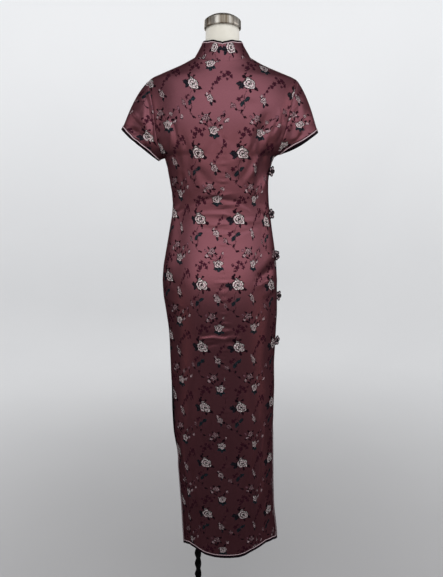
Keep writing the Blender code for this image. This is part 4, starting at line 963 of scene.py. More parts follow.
# motifs of one repeat, in mm from the large rose: x to the right, y down,
# turn in degrees, half length, half width, kind
ROSES = (
    (0, 0, 38, 17.5, 14.5, 0), (43, 110, -12, 13, 10.5, 1), (40, 36, 60, 9.5, 8, 3),
    (27, 80, 160, 10, 8, 6), (-34, 53, 30, 7, 6.5, 7), (57, 84, 80, 5.2, 4.6, 4),
)
LEAVES = (
    (-23, 1, 176, 9.5, 6.8, 1), (-18, 9, 132, 8.5, 5.4, 1), (-12, -17, 226, 6.5, 4.6, 0),
    (-9, -24, 300, 5, 2.6, 0), (4, -19, 336, 5, 2.8, 0), (17, 11, 30, 7.5, 4.4, 0),
    (4, 18, 80, 6, 3.4, 0), (-12, 48, 118, 9.5, 5.2, 2), (-1, 38, 140, 8.5, 5, 2),
    (44, 122, 90, 9.5, 6, 2), (38, 121, 160, 8, 4.4, 2), (51, 121, 30, 7.5, 4.2, 2),
    (33, 29, 200, 5.5, 2.8, 0), (50, 43, 25, 6, 3, 0), (42, 48, 80, 6, 3.6, 1),
    (36, 72, 300, 5.5, 3, 0), (20, 72, 230, 5, 2.6, 0), (84, 76, 110, 6, 2.6, 0),
    (48, 95, 120, 6.5, 2.6, 0), (24, 96, 30, 6.5, 2.4, 0), (-12, 66, 300, 5, 2.2, 0),
    (-2, 80, 20, 6, 2.4, 0), (12, 94, 200, 4, 2.2, 0), (37, 85, 20, 6, 2.8, 0),
    (17, 85, 150, 5.5, 2.6, 0), (29, 91, 100, 5, 2.6, 0), (59, 99, 330, 6, 2.6, 0),
    (71, 93, 300, 5.5, 2.4, 0), (66, 76, 320, 5, 2.4, 0), (-42, 46, 210, 5.5, 2.8, 0),
    (-27, 61, 60, 5.5, 2.8, 0), (-42, 59, 130, 5, 2.6, 0),
)
FLORETS = (
    (86, -26, 10, 6.8, 6.8, 0), (77, -20, 40, 5.2, 5.2, 0), (94, -17, 70, 5.2, 5.2, 0),
    (64, -11, 20, 5.8, 5.8, 0), (58, -2, 50, 4.6, 4.6, 0), (47, 12, 0, 3.7, 3.7, 0),
    (50, 3, 30, 3.1, 3.1, 0), (-3, 119, 15, 5.8, 5.8, 0), (9, 111, 60, 5.3, 5.3, 0),
    (1, 106, 35, 4.7, 4.7, 0), (14, 119, 5, 4.3, 4.3, 0), (-22, 38, 25, 5.3, 5.3, 0),
    (-15, 32, 0, 3.1, 3.1, 0), (-8, 128, 15, 3.5, 3.5, 0), (70, -27, 30, 3.6, 3.6, 0),
    (84, -10, 0, 3.4, 3.4, 0), (40, 20, 45, 3, 3, 0), (20, 107, 20, 3.3, 3.3, 0),
    (-13, 114, 50, 3.6, 3.6, 0),
)
BUDS = (
    (92, 87, -28, 9, 3.8, 1), (64, 103, -28, 8.5, 3.6, 1), (15, 90, 40, 5, 3.4, 1),
    (82, 69, -50, 4.6, 3.2, 0), (12, 78, 220, 4.4, 2.6, 0), (34, 26, 250, 4.8, 3, 1),
    (100, 80, -60, 4.6, 2.6, 0),
)
# stems: start, end and sideways bow
STEMS = (
    (-4, 18, -8, 40, 3), (-8, 44, -14, 74, -4), (-12, 60, 2, 82, 5), (42, 26, 58, -4, -4),
    (58, -4, 94, -18, -6), (84, 68, 50, 100, 4), (30, 84, 42, 102, -3), (16, 90, 40, 100, 4),
    (-9, 134, 2, 106, 4), (-32, 56, -10, 64, 3), (57, 86, 46, 100, 2),
)


def print_group():
    """The woven figure: roses, leaves, florets, buds and stems on satin."""
    tree = bpy.data.node_groups.new("rose_figure", "ShaderNodeTree")
    tree.interface.new_socket("Cloth", in_out="INPUT", socket_type="NodeSocketVector")
    tree.interface.new_socket("Color", in_out="OUTPUT", socket_type="NodeSocketColor")
    tree.interface.new_socket("Thread", in_out="OUTPUT", socket_type="NodeSocketFloat")
    net = Net(tree)
    cloth = tree.nodes.new("NodeGroupInput").outputs[0]
    u, v, _ = net.split(cloth)
    x = net.math("WRAP", net.sub(u, ROSE_U), 97.0, 97.0 - REPEAT_ACROSS)
    y = net.math("WRAP", net.mul(v, -1.0), 130.0, 130.0 - REPEAT_DOWN)
    ragged = net.noise(cloth, 0.34, 1.0)
    p = net.shaken(net.join(x, y), net.noise(cloth, 0.16, 1.0)[1], 4.5)
    p = net.shaken(p, ragged[1], 6.0)
    ink, ground = rgb(26, 12, 20), rgb(138, 88, 98)

    # stems: distance to a bowed line
    stems = None
    for x0, y0, x1, y1, bow in STEMS:
        long = math.hypot(x1 - x0, y1 - y0)
        turn = math.atan2(y1 - y0, x1 - x0)
        made = net.node("ShaderNodeMapping", {
            0: p, 1: (x0, y0, 0.0), 2: (0.0, 0.0, turn), 3: (long, 1.0, 1.0)},
            vector_type="TEXTURE")
        a, b, _ = net.split(made.outputs[0])
        t = net.mul(a, net.sub(1.0, a))
        off = net.math("ABSOLUTE", net.mad(t, -4.0 * bow, b))
        off = net.sub(off, net.mul(t, 60.0, clamp=True))
        stems = off if stems is None else net.math("MINIMUM", stems, off)
    twig = net.step(stems, -0.55, 0.1, 1.0, 0.0)
    color = net.mix(net.mul(twig, 0.8), ground, rgb(40, 18, 30))
    matte = net.mul(twig, 0.3)

    # leaves
    a, b, kind, _ = net.nearest(p, LEAVES)
    side = net.math("ABSOLUTE", b)
    bulge = net.mad(net.mul(a, a), -1.0, 1.0)
    teeth = net.mul(net.math("PINGPONG", net.math("ADD", a, side), 0.16), 0.9)
    inside = net.sub(net.sub(bulge, side), teeth)
    leaf = net.step(inside, -0.10, 0.04)
    rib = net.step(side, 0.05, 0.16, 1.0, 0.0)
    vein = net.math("PINGPONG", net.mad(side, 0.9, a), 0.17)
    vein = net.most(rib, net.step(vein, 0.10, 0.15))
    green = net.mul(kind, 500.0, clamp=True)
    dark_leaf = net.mix(green, rgb(22, 11, 19), rgb(17, 17, 26))
    vein_color = net.mix(green, rgb(60, 28, 44), rgb(72, 98, 106))
    vein = net.mul(vein, net.step(ragged[0], 0.42, 0.56, 0.25, 1.0))
    leaf_color = net.mix(net.mul(vein, 0.5), dark_leaf, vein_color)
    color = net.mix(leaf, color, leaf_color)
    matte = net.most(matte, net.mul(leaf, 0.4))

    # small dark florets
    a, b, _, far = net.nearest(p, FLORETS)
    turn = net.math("ARCTAN2", b, a)
    lobe = net.math("COSINE", net.mul(turn, 5.0))
    lobe = net.mad(lobe, 0.22, 0.98)
    inside = net.sub(lobe, far)
    floret = net.step(inside, -0.05, 0.10)
    heart = net.step(far, 0.14, 0.26, 1.0, 0.0)
    petal = net.step(inside, 0.12, 0.26)
    floret_color = net.mix(petal, rgb(26, 10, 17), rgb(70, 31, 46))
    floret_color = net.mix(heart, floret_color, rgb(34, 12, 26))
    color = net.mix(floret, color, floret_color)
    matte = net.most(matte, net.mul(floret, 0.3))

    # buds
    a, b, kind, _ = net.nearest(p, BUDS)
    bulge = net.mad(net.mul(a, a), -1.0, 1.0)
    inside = net.sub(bulge, net.math("ABSOLUTE", b))
    rim = net.step(inside, -0.28, -0.14)
    body = net.step(inside, 0.10, 0.24)
    fold = net.math("PINGPONG", net.mad(a, 0.35, b), 0.34)
    fold = net.step(fold, 0.14, 0.21)
    pale = net.mix(net.mul(kind, 900.0, clamp=True), rgb(150, 108, 120),
                   rgb(206, 184, 188))
    bud_color = net.mix(net.mul(fold, 0.9), pale, rgb(96, 52, 68))
    color = net.mix(rim, color, ink)
    color = net.mix(body, color, bud_color)
    matte = net.most(matte, net.mul(rim, 0.35))

    # roses: whorled petals with dark edges
    a, b, kind, far = net.nearest(p, ROSES)
    turn = net.math("ARCTAN2", b, a)
    lobes = net.math("SINE", net.mad(turn, 5.0, 1.0))
    notch = net.math("SINE", net.mad(turn, 3.0, 2.2))
    edge = net.mad(lobes, 0.085, 0.86)
    edge = net.mad(notch, 0.06, edge)
    w = net.math("DIVIDE", far, edge)
    outline = net.step(w, 1.07, 1.16, 1.0, 0.0)
    rose = net.step(w, 0.92, 1.00, 1.0, 0.0)
    swirl = net.mad(w, 2.35, net.mul(turn, 1.0 / (2.0 * math.pi)))
    swirl = net.mad(lobes, 0.14, swirl)
    swirl = net.mad(ragged[0], 0.6, swirl)
    swirl = net.math("FRACT", net.math("ADD", swirl, 3.0))
    ridge = net.math("ABSOLUTE", net.sub(swirl, 0.5))
    whorl = net.mul(net.step(ridge, 0.25, 0.35), net.step(w, 0.60, 0.90, 1.0, 0.7))
    dabs = net.vec("MULTIPLY", net.join(a, b, 0.0), (1.6, 1.6, 0.0))
    dabs = net.vec("ADD", dabs, net.join(kind, net.mul(kind, 37.0), 0.0))
    gap = net.cells(dabs)
    crack = net.step(gap, 0.05, 0.10, 0.95, 0.0)
    heart = net.step(w, 0.08, 0.20, 1.0, 0.0)
    dark = net.most(whorl, net.most(crack, heart))
    pale = net.step(gap, 0.16, 0.21, 1.0, 0.0)
    pale = net.most(pale, net.step(w, 0.88, 0.94))
    pale = net.mul(pale, net.sub(1.0, dark))
    dusky = net.mul(kind, 1000.0 / 7.0, clamp=True)
    petals = net.mix(dusky, rgb(254, 250, 248), rgb(204, 170, 176))
    fill = net.mix(dusky, rgb(212, 188, 194), rgb(132, 84, 98))
    rose_color = net.mix(pale, fill, petals)
    rose_color = net.mix(dark, rose_color, rgb(34, 15, 22))
    color = net.mix(outline, color, ink)
    color = net.mix(rose, color, rose_color)
    matte = net.most(matte, net.mul(outline, 0.3))
    strokes = net.mul(rose, net.mad(pale, 0.36, 0.02))
    matte = net.most(matte, strokes)

    out = tree.nodes.new("NodeGroupOutput")
    tree.links.new(color, out.inputs[0])
    tree.links.new(matte, out.inputs[1])
    return tree


def new_material(name):
    mat = bpy.data.materials.new(name)
    mat.use_nodes = True
    return mat, Net(mat.node_tree), mat.node_tree.nodes["Principled BSDF"]


def cloth_coordinates(net):
    return net.node("ShaderNodeAttribute", attribute_name="cloth").outputs[1]


def satin_material(name, group):
    """Figured satin: threads that shine, and a woven print that does less."""
    mat, net, bsdf = new_material(name)
    cloth = cloth_coordinates(net)
    color, thread = net.node("ShaderNodeGroup", {}, node_tree=group).outputs[:2]
    net.put(color.node.inputs, 0, cloth)
    slub = net.noise(net.vec("MULTIPLY", cloth, (2.4, 0.28, 1.0)), 1.0, 2.0, 0.6)[0]
    toned = net.vec("SCALE", color)
    net.put(toned.node.inputs, 3, net.step(slub, 0.25, 0.75, 0.88, 1.12))
    weave = net.noise(net.vec("MULTIPLY", cloth, (3.2, 1.1, 1.0)), 1.0, 1.0)[0]
    net.fill(bsdf, {
        "Base Color": toned, "Metallic": net.mad(thread, -0.92, 0.92),
        "Roughness": net.mad(slub, 0.10, net.mad(thread, 0.14, 0.40)),
        "Specular IOR Level": 0.30, "Specular Tint": rgb(120, 96, 100),
        "Normal": net.bump(weave, 0.18, 0.0003)})
    return mat


def plain_satin(name, dark, light, rough, sheen, stretch=(1.2, 3.0, 1.0), strength=0.3,
                gloss=0.32):
    """Satin without a figure, its threads drawn out along the cloth."""
    mat, net, bsdf = new_material(name)
    thread = net.noise(net.vec("MULTIPLY", cloth_coordinates(net), stretch), 1.0, 3.0, 0.6)[0]
    net.fill(bsdf, {
        "Base Color": net.mix(net.step(thread, 0.3, 0.7), dark, light),
        "Roughness": net.mad(thread, 0.18, rough - 0.09),
        "Sheen Weight": sheen, "Sheen Roughness": 0.4, "Specular IOR Level": gloss,
        "Normal": net.bump(thread, strength, 0.0002)})
    return mat


def linen_material():
    """Cover of the dress form: plain weave, two crossing sets of threads."""
    mat, net, bsdf = new_material("form_linen")
    place = net.object_place()
    x, y, z = net.split(place)
    weft = net.math("SINE", net.mul(z, 2.0 * math.pi / 0.0009))
    warp = net.math("SINE", net.mul(net.math("ARCTAN2", y, x), 620.0))
    weave = net.mad(net.mul(weft, warp), 0.25, 0.5)
    cloud = net.noise(place, 14.0, 3.0)[0]
    base = net.mix(net.step(cloud, 0.3, 0.7), rgb(206, 203, 192), rgb(226, 224, 215))
    net.fill(bsdf, {
        "Base Color": net.mix(net.mul(weave, 0.18), base, rgb(168, 164, 150)),
        "Roughness": 0.88, "Sheen Weight": 0.15, "Normal": net.bump(weave, 0.22, 0.0004)})
    return mat


def metal_material(name, dark, light, rough, metallic, scale, stretch=(1.0, 1.0, 1.0)):
    """Worn metal, its tone varying in clouds; stretch draws the clouds out into bands, which on
    the chrome cap are painted reflections.
    """
    mat, net, bsdf = new_material(name)
    wear_and_painted_reflection = net.noise(net.vec("MULTIPLY", net.object_place(), stretch), scale, 4.0, 0.6)[0]
    # Colour varies in clouds: random wear on the iron, and on the chrome cap the bands are painted
    # reflections.
    net.fill(bsdf, {
        "Base Color": net.mix(net.step(wear_and_painted_reflection, 0.35, 0.7), dark, light),
        "Roughness": net.mad(wear_and_painted_reflection, 0.16, rough - 0.08), "Metallic": metallic,
        "Normal": net.bump(wear_and_painted_reflection, 0.12, 0.0004)})
    return mat


SATIN = satin_material("figured_satin", print_group())
LINING = plain_satin("satin_reverse", rgb(66, 34, 42), rgb(84, 46, 54), 0.5, 0.2)
BINDING = plain_satin("binding_satin", rgb(9, 4, 8), rgb(24, 11, 20), 0.58, 0.0,
                      (0.5, 3.4, 1.0), gloss=0.08)
PIPING = plain_satin("piping_satin", rgb(172, 142, 150), rgb(214, 190, 196), 0.42, 0.1,
                     (2.2, 1.0, 1.0))
FROG_CORD = plain_satin("frog_cord", rgb(11, 5, 10), rgb(30, 14, 26), 0.46, 0.03,
                        (1.8, 1.4, 1.0), 0.5)
LINEN = linen_material()
# The chrome cap's brown-gold and near-white bands, drawn out up the cap, are painted reflections.
CHROME = metal_material("cap_chrome", rgb(96, 82, 62), rgb(238, 236, 230), 0.20, 0.66, 46.0,
                        (1.0, 1.0, 0.04))
IRON = metal_material("black_iron", rgb(16, 16, 17), rgb(30, 30, 32), 0.42, 0.7, 60.0)


# --------------------------------------------------------------------- cloth
def show(obj, node):
    """Let a piece stand for its CAD node."""
    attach(obj, "root")
    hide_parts(node)
    return obj


def satin_piece(name, node, sheet, thick=CLOTH, wrap=False):
    """Shell of figured satin, from a grid with its normals and print."""
    cloth = np.stack([sheet["u"], sheet["v"], 0.0 * sheet["u"]], -1)
    obj = skin(name, sheet["points"], sheet["normals"], [SATIN, LINING], cloth, wrap)
    thicken(obj, thick)
    return show(obj, node)


def trim_piece(name, node, objs):
    return show(join(name + "_satin", objs), node)


def trims(prefix, trim, lines, normals, limits, closed=False):
    """Binding of an edge, with its pale cord and the dark line beside it."""
    made = [edge_band(prefix + "_band", lines, normals, trim[0], limits)]
    if closed:
        lines, normals, limits = lines[:-1], normals[:-1], limits[:-1]
    for label, mat, cord in zip(("_piping", "_line"), (PIPING, BINDING), trim[1:]):
        made.append(edge_cord(prefix + label, lines, normals, *cord, limits, mat, closed))
    return made


def edge_trims(prefix, sheet, edge, rows=None, corners=1):
    """Trim of one edge of a panel, narrower where another edge's begins."""
    lines, normals = edge_lines(sheet, edge, rows)
    limits = run_along(lines[:, 0])
    if corners == 2:
        limits = np.minimum(limits, limits[-1] - limits)
    return trims(prefix, HEM_TRIM, lines, normals, limits)


def slit_rows(sheet, height):
    return int(np.argmax(sheet["z"][:, 0] > height))


def back_trims(sheet, name, slit):
    made = edge_trims(name + "_hem", sheet, "hem")
    made += edge_trims(name + "_slit", sheet, "first", slit_rows(sheet, slit))
    return trim_piece(name, name, made)


left, right, front, lap = back_half(1.0), back_half(-1.0), front_whole(), underlap()
cloth_left = satin_piece("dress_back_left", "back_left", left)
cloth_right = satin_piece("dress_back_right", "back_right", right)
cloth_front = satin_piece("dress_front", "front_panel", front)
cloth_lap = satin_piece("dress_underlap", "right_underlap", lap)
back_left_trim = back_trims(left, "back_left_binding", LEFT_SLIT_Z)
back_right_trim = back_trims(right, "back_right_binding", RIGHT_SLIT_Z)
front_trim = trim_piece(
    "front_binding", "front_binding",
    edge_trims("front_hem", front, "hem", corners=2)
    + edge_trims("front_slit", front, "first", slit_rows(front, LEFT_SLIT_Z))
    + edge_trims("front_opening", front, "last"))


# ------------------------------------------------------------------- sleeves
def armhole_loop(back, front_sheet):
    """Rim of one armhole, from the armpit up the back and down the front."""
    b, f = (sheet["points"][-UPPER_COUNT - 1:, 0] for sheet in (back, front_sheet))
    armpit, tip = (b[0] + f[0]) / 2.0, (b[-1] + f[-1]) / 2.0
    return np.concatenate([[armpit], b[1:-1], [tip], f[1:-1][::-1]])


def ring_normals(rings):
    around = np.roll(rings, -1, 1) - np.roll(rings, 1, 1)
    return unit(np.cross(around, np.gradient(rings, axis=0)))


def sleeve(hand, bottom_x, bottom_z, top_x, top_z, half_deep, bulge, sag, rim):
    """Rings of one short sleeve from its armhole seam to its cuff."""
    rim = rim + np.array([hand * 0.25, 0.0, 0.1])
    count = len(rim)
    step = np.linalg.norm(np.roll(rim, -1, 0) - rim, axis=-1)
    run = np.concatenate([[0.0], np.cumsum(step)])[:-1] / step.sum()
    half = UPPER_COUNT
    turn = np.where(np.arange(count) <= half, run / run[half] * math.pi,
                    math.pi + (run - run[half]) / (1.0 - run[half]) * math.pi)
    centre = np.array([(bottom_x + top_x) / 2.0, 1.0, (bottom_z + top_z) / 2.0])
    major = np.array([(top_x - bottom_x) / 2.0, 0.0, (top_z - bottom_z) / 2.0])
    cuff = centre - major * np.cos(turn)[:, None]
    cuff = cuff + np.array([0.0, half_deep, 0.0]) * (
        np.sign(np.sin(turn)) * np.abs(np.sin(turn)) ** 0.85)[:, None]
    away = np.array([hand * major[2], 0.0, -hand * major[0]]) / np.linalg.norm(major)
    cuff = cuff + away * (sag * np.sin(turn) ** 2)[:, None]
    rows = np.concatenate([np.linspace(0.0, 0.05, 4)[:-1], np.linspace(0.05, 0.9, 34)[:-1],
                           np.linspace(0.9, 1.0, 9)])
    up = np.array([hand * 0.62, 0.0, 0.78])
    top = (0.5 - 0.5 * np.cos(turn)) ** 2
    rings = []
    for w in rows:
        lift = math.sin(math.pi * w ** 0.8) * bulge
        ring = rim + (cuff - rim) * w + up * (lift * top)[:, None]
        ring = ring + np.array([0.0, 1.0, 0.0]) * (lift * 0.5 * np.sin(turn))[:, None]
        rings.append(ring)
    rings = np.array(rings)
    normal = ring_normals(rings)
    normal = normal * np.sign(np.sum(normal * (rings - rings.mean(axis=1, keepdims=True))))
    lift = np.where(rings[..., 1] > 0.0, crease_lift(1, rings[..., 0], rings[..., 2]),
                    crease_lift(-1, rings[..., 0], rings[..., 2]))
    lift = lift * smooth(np.abs(rings[..., 1]) / 18.0) * smooth(rows / 0.12)[:, None]
    gap = rows[:, None] * np.linalg.norm(cuff - rim, axis=-1)
    ease = np.sin(np.pi * np.clip((turn - 1.7) / 2.9, 0.0, 1.0)) ** 2
    tucks = 0.5 * np.sin(turn * 34.0 + 0.7) * ease * np.exp(-(gap / 9.0) ** 2)
    lift = lift + tucks + seam_groove(gap)
    rings = rings + normal * lift[..., None]
    tilt = ring_normals(rings)
    tilt = tilt * np.sign(np.sum(tilt * normal))
    step = np.linalg.norm(np.roll(rings, -1, 1) - rings, axis=-1)
    run = np.concatenate([np.zeros((len(rings), 1)), np.cumsum(step, axis=1)[:, :-1]], 1)
    fall = np.abs(run - run[:, half:half + 1])
    return rings, tilt, -1.03 * rings[..., 0], rings[:, half:half + 1, 2] - 0.96 * fall


sleeve_objs, cuff_trims = {}, {}
loops = (armhole_loop(left, front), armhole_loop(right, lap))
for (label, hand, *shape, ring, column, tile_x, tile_y), loop in zip(SLEEVES, loops):
    rings, tilt, cu, cv = sleeve(hand, *shape, loop)
    grid = {"points": rings, "normals": tilt, "u": cu - cu[ring, column] + ROSE_U + tile_x,
            "v": cv - cv[ring, column] - tile_y}
    sleeve_objs[label] = satin_piece("dress_" + label, label, grid, wrap=True)
    lines = np.swapaxes(rings[::-1][:EDGE_REACH], 0, 1)
    tilts = np.swapaxes(tilt[::-1][:EDGE_REACH], 0, 1)
    lines = np.concatenate([lines, lines[:1]])
    tilts = np.concatenate([tilts, tilts[:1]])
    name = label.replace("sleeve", "cuff_binding")
    made = trims(name, CUFF_TRIM, lines, tilts, np.full(len(lines), NO_CORNER), closed=True)
    cuff_trims[label] = trim_piece(name, name, made)


# -------------------------------------------------------------------- collar
def neck_points(sheet):
    """Neckline of a panel, from the shoulder inward."""
    line = sheet["points"][-1]
    return line[int(np.argmax(line[:, 2] >= line[:, 2].max() - 0.01)):]


lap_neck = neck_points(lap)
base = np.concatenate([neck_points(front)[::-1][:-1], neck_points(left)[:-1],
                       neck_points(right)[::-1][:-1], lap_neck[lap_neck[:, 0] < -0.4]])
base_run = run_along(base)
even = np.linspace(0.0, base_run[-1], 181)
base = np.stack([np.interp(even, base_run, base[:, k]) for k in range(3)], -1)
for _ in range(3):
    base[1:-1] = base[1:-1] * 0.5 + (base[:-2] + base[2:]) * 0.25
angle = np.arctan2(base[:, 1], base[:, 0])
cos, sin = np.cos(angle), np.sin(angle)
ease_y = 53.5 + 2.5 * np.tanh(sin * 4.0)
rim = np.stack([COLLAR_HALF_TOP * cos, ease_y * sin,
                base[:, 2] + COLLAR_TALL - 2.0 * np.abs(cos)], -1)
behind = np.clip(sin, 0.0, 1.0)
rim[:, 2] += (4.0 * np.exp(-((np.abs(rim[:, 0]) - 24.0) / 11.0) ** 2) + 9.0 * behind) * behind
rim[:, 2] -= 2.2 * np.exp(-np.abs(rim[:, 0]) / 4.0) * behind
from_end = np.minimum(even, even[-1] - even)
rim[:, 2] -= 9.0 * (1.0 - smooth(from_end / 13.0)) ** 1.5
rows = np.linspace(0.0, 1.0, 22)
collar_points = np.array([base + (0.0, 0.0, 0.5) + (rim - base) * w for w in rows])
collar_tilt = grid_normals(collar_points)
gap = np.abs(collar_points[..., 0]) + 30.0 * (collar_points[..., 1] < 0.0)
height_mm = rows[:, None] * COLLAR_TALL
dent = seam_groove(gap) + 0.5 * seam_groove(height_mm + 0.0 * gap)
slack = 0.5 * np.sin(even / 9.0)[None] * np.exp(-((height_mm - 10.0) / 9.0) ** 2)
collar_points = collar_points + collar_tilt * (dent + slack)[..., None]
collar_tilt = grid_normals(collar_points)
nape = int(np.argmin(np.abs(base[:, 0]) + 99.0 * (base[:, 1] < 0.0)))
aside = (even - even[nape])[None] + 0.0 * height_mm
side_sign = np.tanh(aside / 3.0) * (1.0 if base[nape + 1, 0] > 0.0 else -1.0)
scale = 1.24 + 0.16 * side_sign
collar = satin_piece("dress_collar", "collar", {
    "points": collar_points, "normals": collar_tilt,
    "u": ROSE_U + (np.abs(aside) - COLLAR_FIGURE[0]) * scale,
    "v": (height_mm - COLLAR_FIGURE[1]) * scale}, COLLAR_THICK)
lines = np.swapaxes(collar_points[::-1][:9], 0, 1)
tilts = np.swapaxes(collar_tilt[::-1][:9], 0, 1)
made = trims("collar", COLLAR_TRIM, lines, tilts, np.full(len(lines), NO_CORNER))
collar_trim = trim_piece("collar_binding", "collar_binding", made)


# --------------------------------------------------------------------- frogs
def frog_piece(node, centre, facing, spin):
    """Flower frog: corded petal loops with a pale cord, round a knot."""
    facing = Vector(facing).normalized()
    turn_to = facing.to_track_quat("Z", "Y").to_matrix() @ Matrix.Rotation(spin, 3, "Z")
    made = []

    def place(points):
        return np.array([Vector(centre) + turn_to @ Vector(p) for p in points])

    for k in range(5):
        mid = 2.0 * math.pi * k / 5
        for part, (reach, wide, radius, high, mat) in enumerate((
                (FROG_REACH - 2.0, 5.2, 1.55, 1.7, FROG_CORD),
                (FROG_REACH - 5.4, 2.6, 0.75, 2.1, PIPING))):
            points = []
            for s in np.linspace(0.0, 1.0, 22, endpoint=False):
                t = 2.0 * math.pi * s
                out = 3.2 + (reach - 3.2) * (0.5 - 0.5 * math.cos(t))
                off = wide * math.sin(t) * (0.45 + 0.55 * (0.5 - 0.5 * math.cos(t)))
                lift = high + 0.9 * math.sin(t / 2.0) ** 2 - part * 0.2
                points.append((out * math.cos(mid) - off * math.sin(mid),
                               out * math.sin(mid) + off * math.cos(mid), lift))
            made.append(tube("%s_petal_%d_%d" % (node, k, part), place(points), radius, mat,
                             closed=True))
    knot = []
    for s in np.linspace(0.0, 1.0, 72, endpoint=False):
        t = 2.0 * math.pi * s
        radius = 3.0 + 1.5 * math.cos(3.0 * t)
        knot.append((radius * math.cos(2.0 * t), radius * math.sin(2.0 * t),
                     4.2 + 1.7 * math.sin(3.0 * t)))
    made.append(tube(node + "_knot", place(knot), 1.5, FROG_CORD, closed=True))
    core = [(0.0, 0.0, 1.0), (0.0, 0.0, 2.4), (0.0, 0.0, 4.4), (0.0, 0.0, 6.0), (0.0, 0.0, 6.8)]
    made.append(tube(node + "_core", place(core), (2.0, 3.4, 3.8, 2.8, 1.2), FROG_CORD,
                     sides=14))
    return trim_piece(node + "_cord", node, made)


def frog_frame(node):
    """The flat back of a CAD frog: its centre and its outward normal."""
    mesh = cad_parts[node].data
    best = max(mesh.polygons, key=lambda f: f.area)
    normal = np.array(best.normal)
    flat = [f for f in mesh.polygons if np.dot(np.array(f.normal), normal) > 0.999]
    total = sum(np.array(f.center) * f.area for f in flat) / MM
    centre = total / sum(f.area for f in flat)
    middle = np.mean([v.co for v in mesh.vertices], axis=0) / MM
    return centre, normal if np.dot(middle - centre, normal) > 0.0 else -normal


for node, (lean, off, spin) in FROGS.items():
    centre, outward = frog_frame(node)
    frog_piece(node, centre + outward * off, outward + (0.0, lean, 0.0), spin)


# ------------------------------------------------------------ form and stand
FORM = np.array((
    (852, 118, 0, 87, 72, 2.2), (855, 124, 0, 92.5, 78, 2.2), (866, 130, 0, 97.5, 84, 2.2),
    (890, 136.5, 0, 103, 92, 2.2), (930, 141.5, 1, 105.5, 96, 2.2), (980, 146, 4, 108, 99, 2.2),
    (1030, 147.5, 6.5, 106.5, 100, 2.2), (1080, 143.5, 6.3, 98, 98, 2.2),
    (1125, 136, 5, 84, 92, 2.2), (1170, 128, 4.4, 71.5, 86, 2.2), (1210, 121.5, 3.9, 64, 82, 2.2),
    (1250, 118.5, 5, 63.5, 85, 2.2), (1300, 121, 8.4, 73.5, 96, 2.2),
    (1340, 127.5, 8.6, 82, 105, 2.2), (1370, 133.5, 7.6, 87, 107, 2.25),
    (1405, 141, 6, 91, 102, 2.3), (1445, 149, 4, 92, 93, 2.35), (1485, 156, 1.8, 88.5, 80, 2.35),
    (1515, 161, 0, 83, 68, 2.2), (1538, 163, -0.9, 76, 56, 1.95), (1552, 158.6, -0.8, 70, 46, 1.7),
    (1562, 152.4, 0, 65.5, 41.5, 1.48), (1572, 132.8, 1, 60, 37, 1.3),
    (1584, 102.2, 0.7, 54, 33.5, 1.28), (1595, 75.5, 0, 49, 31.5, 1.35),
    (1604, 57, 0, 48, 32.5, 1.6), (1614, 49.5, 0, 48, 34.5, 1.9), (1628, 44, 0, 46.5, 35, 2),
    (1644, 42.5, 0, 45.5, 35.5, 2), (1669, 42, 0, 45.5, 35.5, 2),
))


def form_piece():
    """Cover of the dress form, with its four seams."""
    heights = [FORM[0, 0]]
    for low, high in zip(FORM[:-1, 0], FORM[1:, 0]):
        parts = max(1, int(round((high - low) / 7.0)))
        heights.extend(np.linspace(low, high, parts + 1)[1:])
    heights = np.array(heights)
    turn = 2.0 * math.pi * np.arange(96) / 96
    c, s = np.cos(turn)[None], np.sin(turn)[None]
    value = [np.interp(heights, FORM[:, 0], FORM[:, k])[:, None] for k in range(6)]
    power = value[5]
    x = value[2] + value[1] * np.sign(c) * np.abs(c) ** (2.0 / power)
    y = np.where(s > 0, value[3], value[4]) * np.sign(s) * np.abs(s) ** (2.0 / power)
    points = np.stack([x, y, value[0] + 0.0 * x], -1)
    for column in (0, 24, 48, 72):
        points[..., 0][:, column] *= 0.994
        points[..., 1][:, column] *= 0.994
    faces = capped_faces(*points.shape[:2])
    return link("form_torso_cover", points.reshape(-1, 3), faces, [LINEN])


def turned(name, profile, centre, mat, around=96):
    """Turned piece from (radius, height) pairs; the ends close on the axis."""
    verts = []
    turn = 2.0 * math.pi * np.arange(around) / around
    inner = [p for p in profile if p[0] > 0.0]
    for r, z in inner:
        verts.extend([(centre[0] + r * math.cos(t), centre[1] + r * math.sin(t), z) for t in turn])
    faces = grid_faces(len(inner), around, wrap=True)
    first = len(verts)
    verts.append((centre[0], centre[1], profile[0][1]))
    verts.append((centre[0], centre[1], profile[-1][1]))
    base = (len(inner) - 1) * around
    for k in range(around):
        n = (k + 1) % around
        faces.append([first, n, k])
        faces.append([first + 1, base + k, base + n])
    obj = link(name, verts, faces, [mat])
    obj.data.set_sharp_from_angle(angle=math.radians(40.0))
    return obj


def pole_piece():
    """Iron pole, twisted below and round where it enters the form."""
    around = 28
    levels = np.concatenate([np.arange(12.4, 432.0, 2.6), [434.0, 440.0, 640.0, 851.6]])
    turn = 2.0 * math.pi * np.arange(around) / around
    rings = []
    for z in levels:
        spin = 2.0 * math.pi * z / TWIST_RISE
        twist = 1.0 - smooth((z - TWIST_END) / 10.0)
        reach = 8.0 + 2.0 * np.cos(2.0 * (turn - spin)) * twist
        reach = reach - 0.9 * np.exp(-(np.cos(turn - spin) / 0.22) ** 2) * twist
        rings.append(np.stack([POLE_X + reach * np.cos(turn), reach * np.sin(turn),
                               np.full(around, z)], -1))
    faces = capped_faces(len(rings), around)
    return link("stand_pole_twisted", np.reshape(rings, (-1, 3)), faces, [IRON])


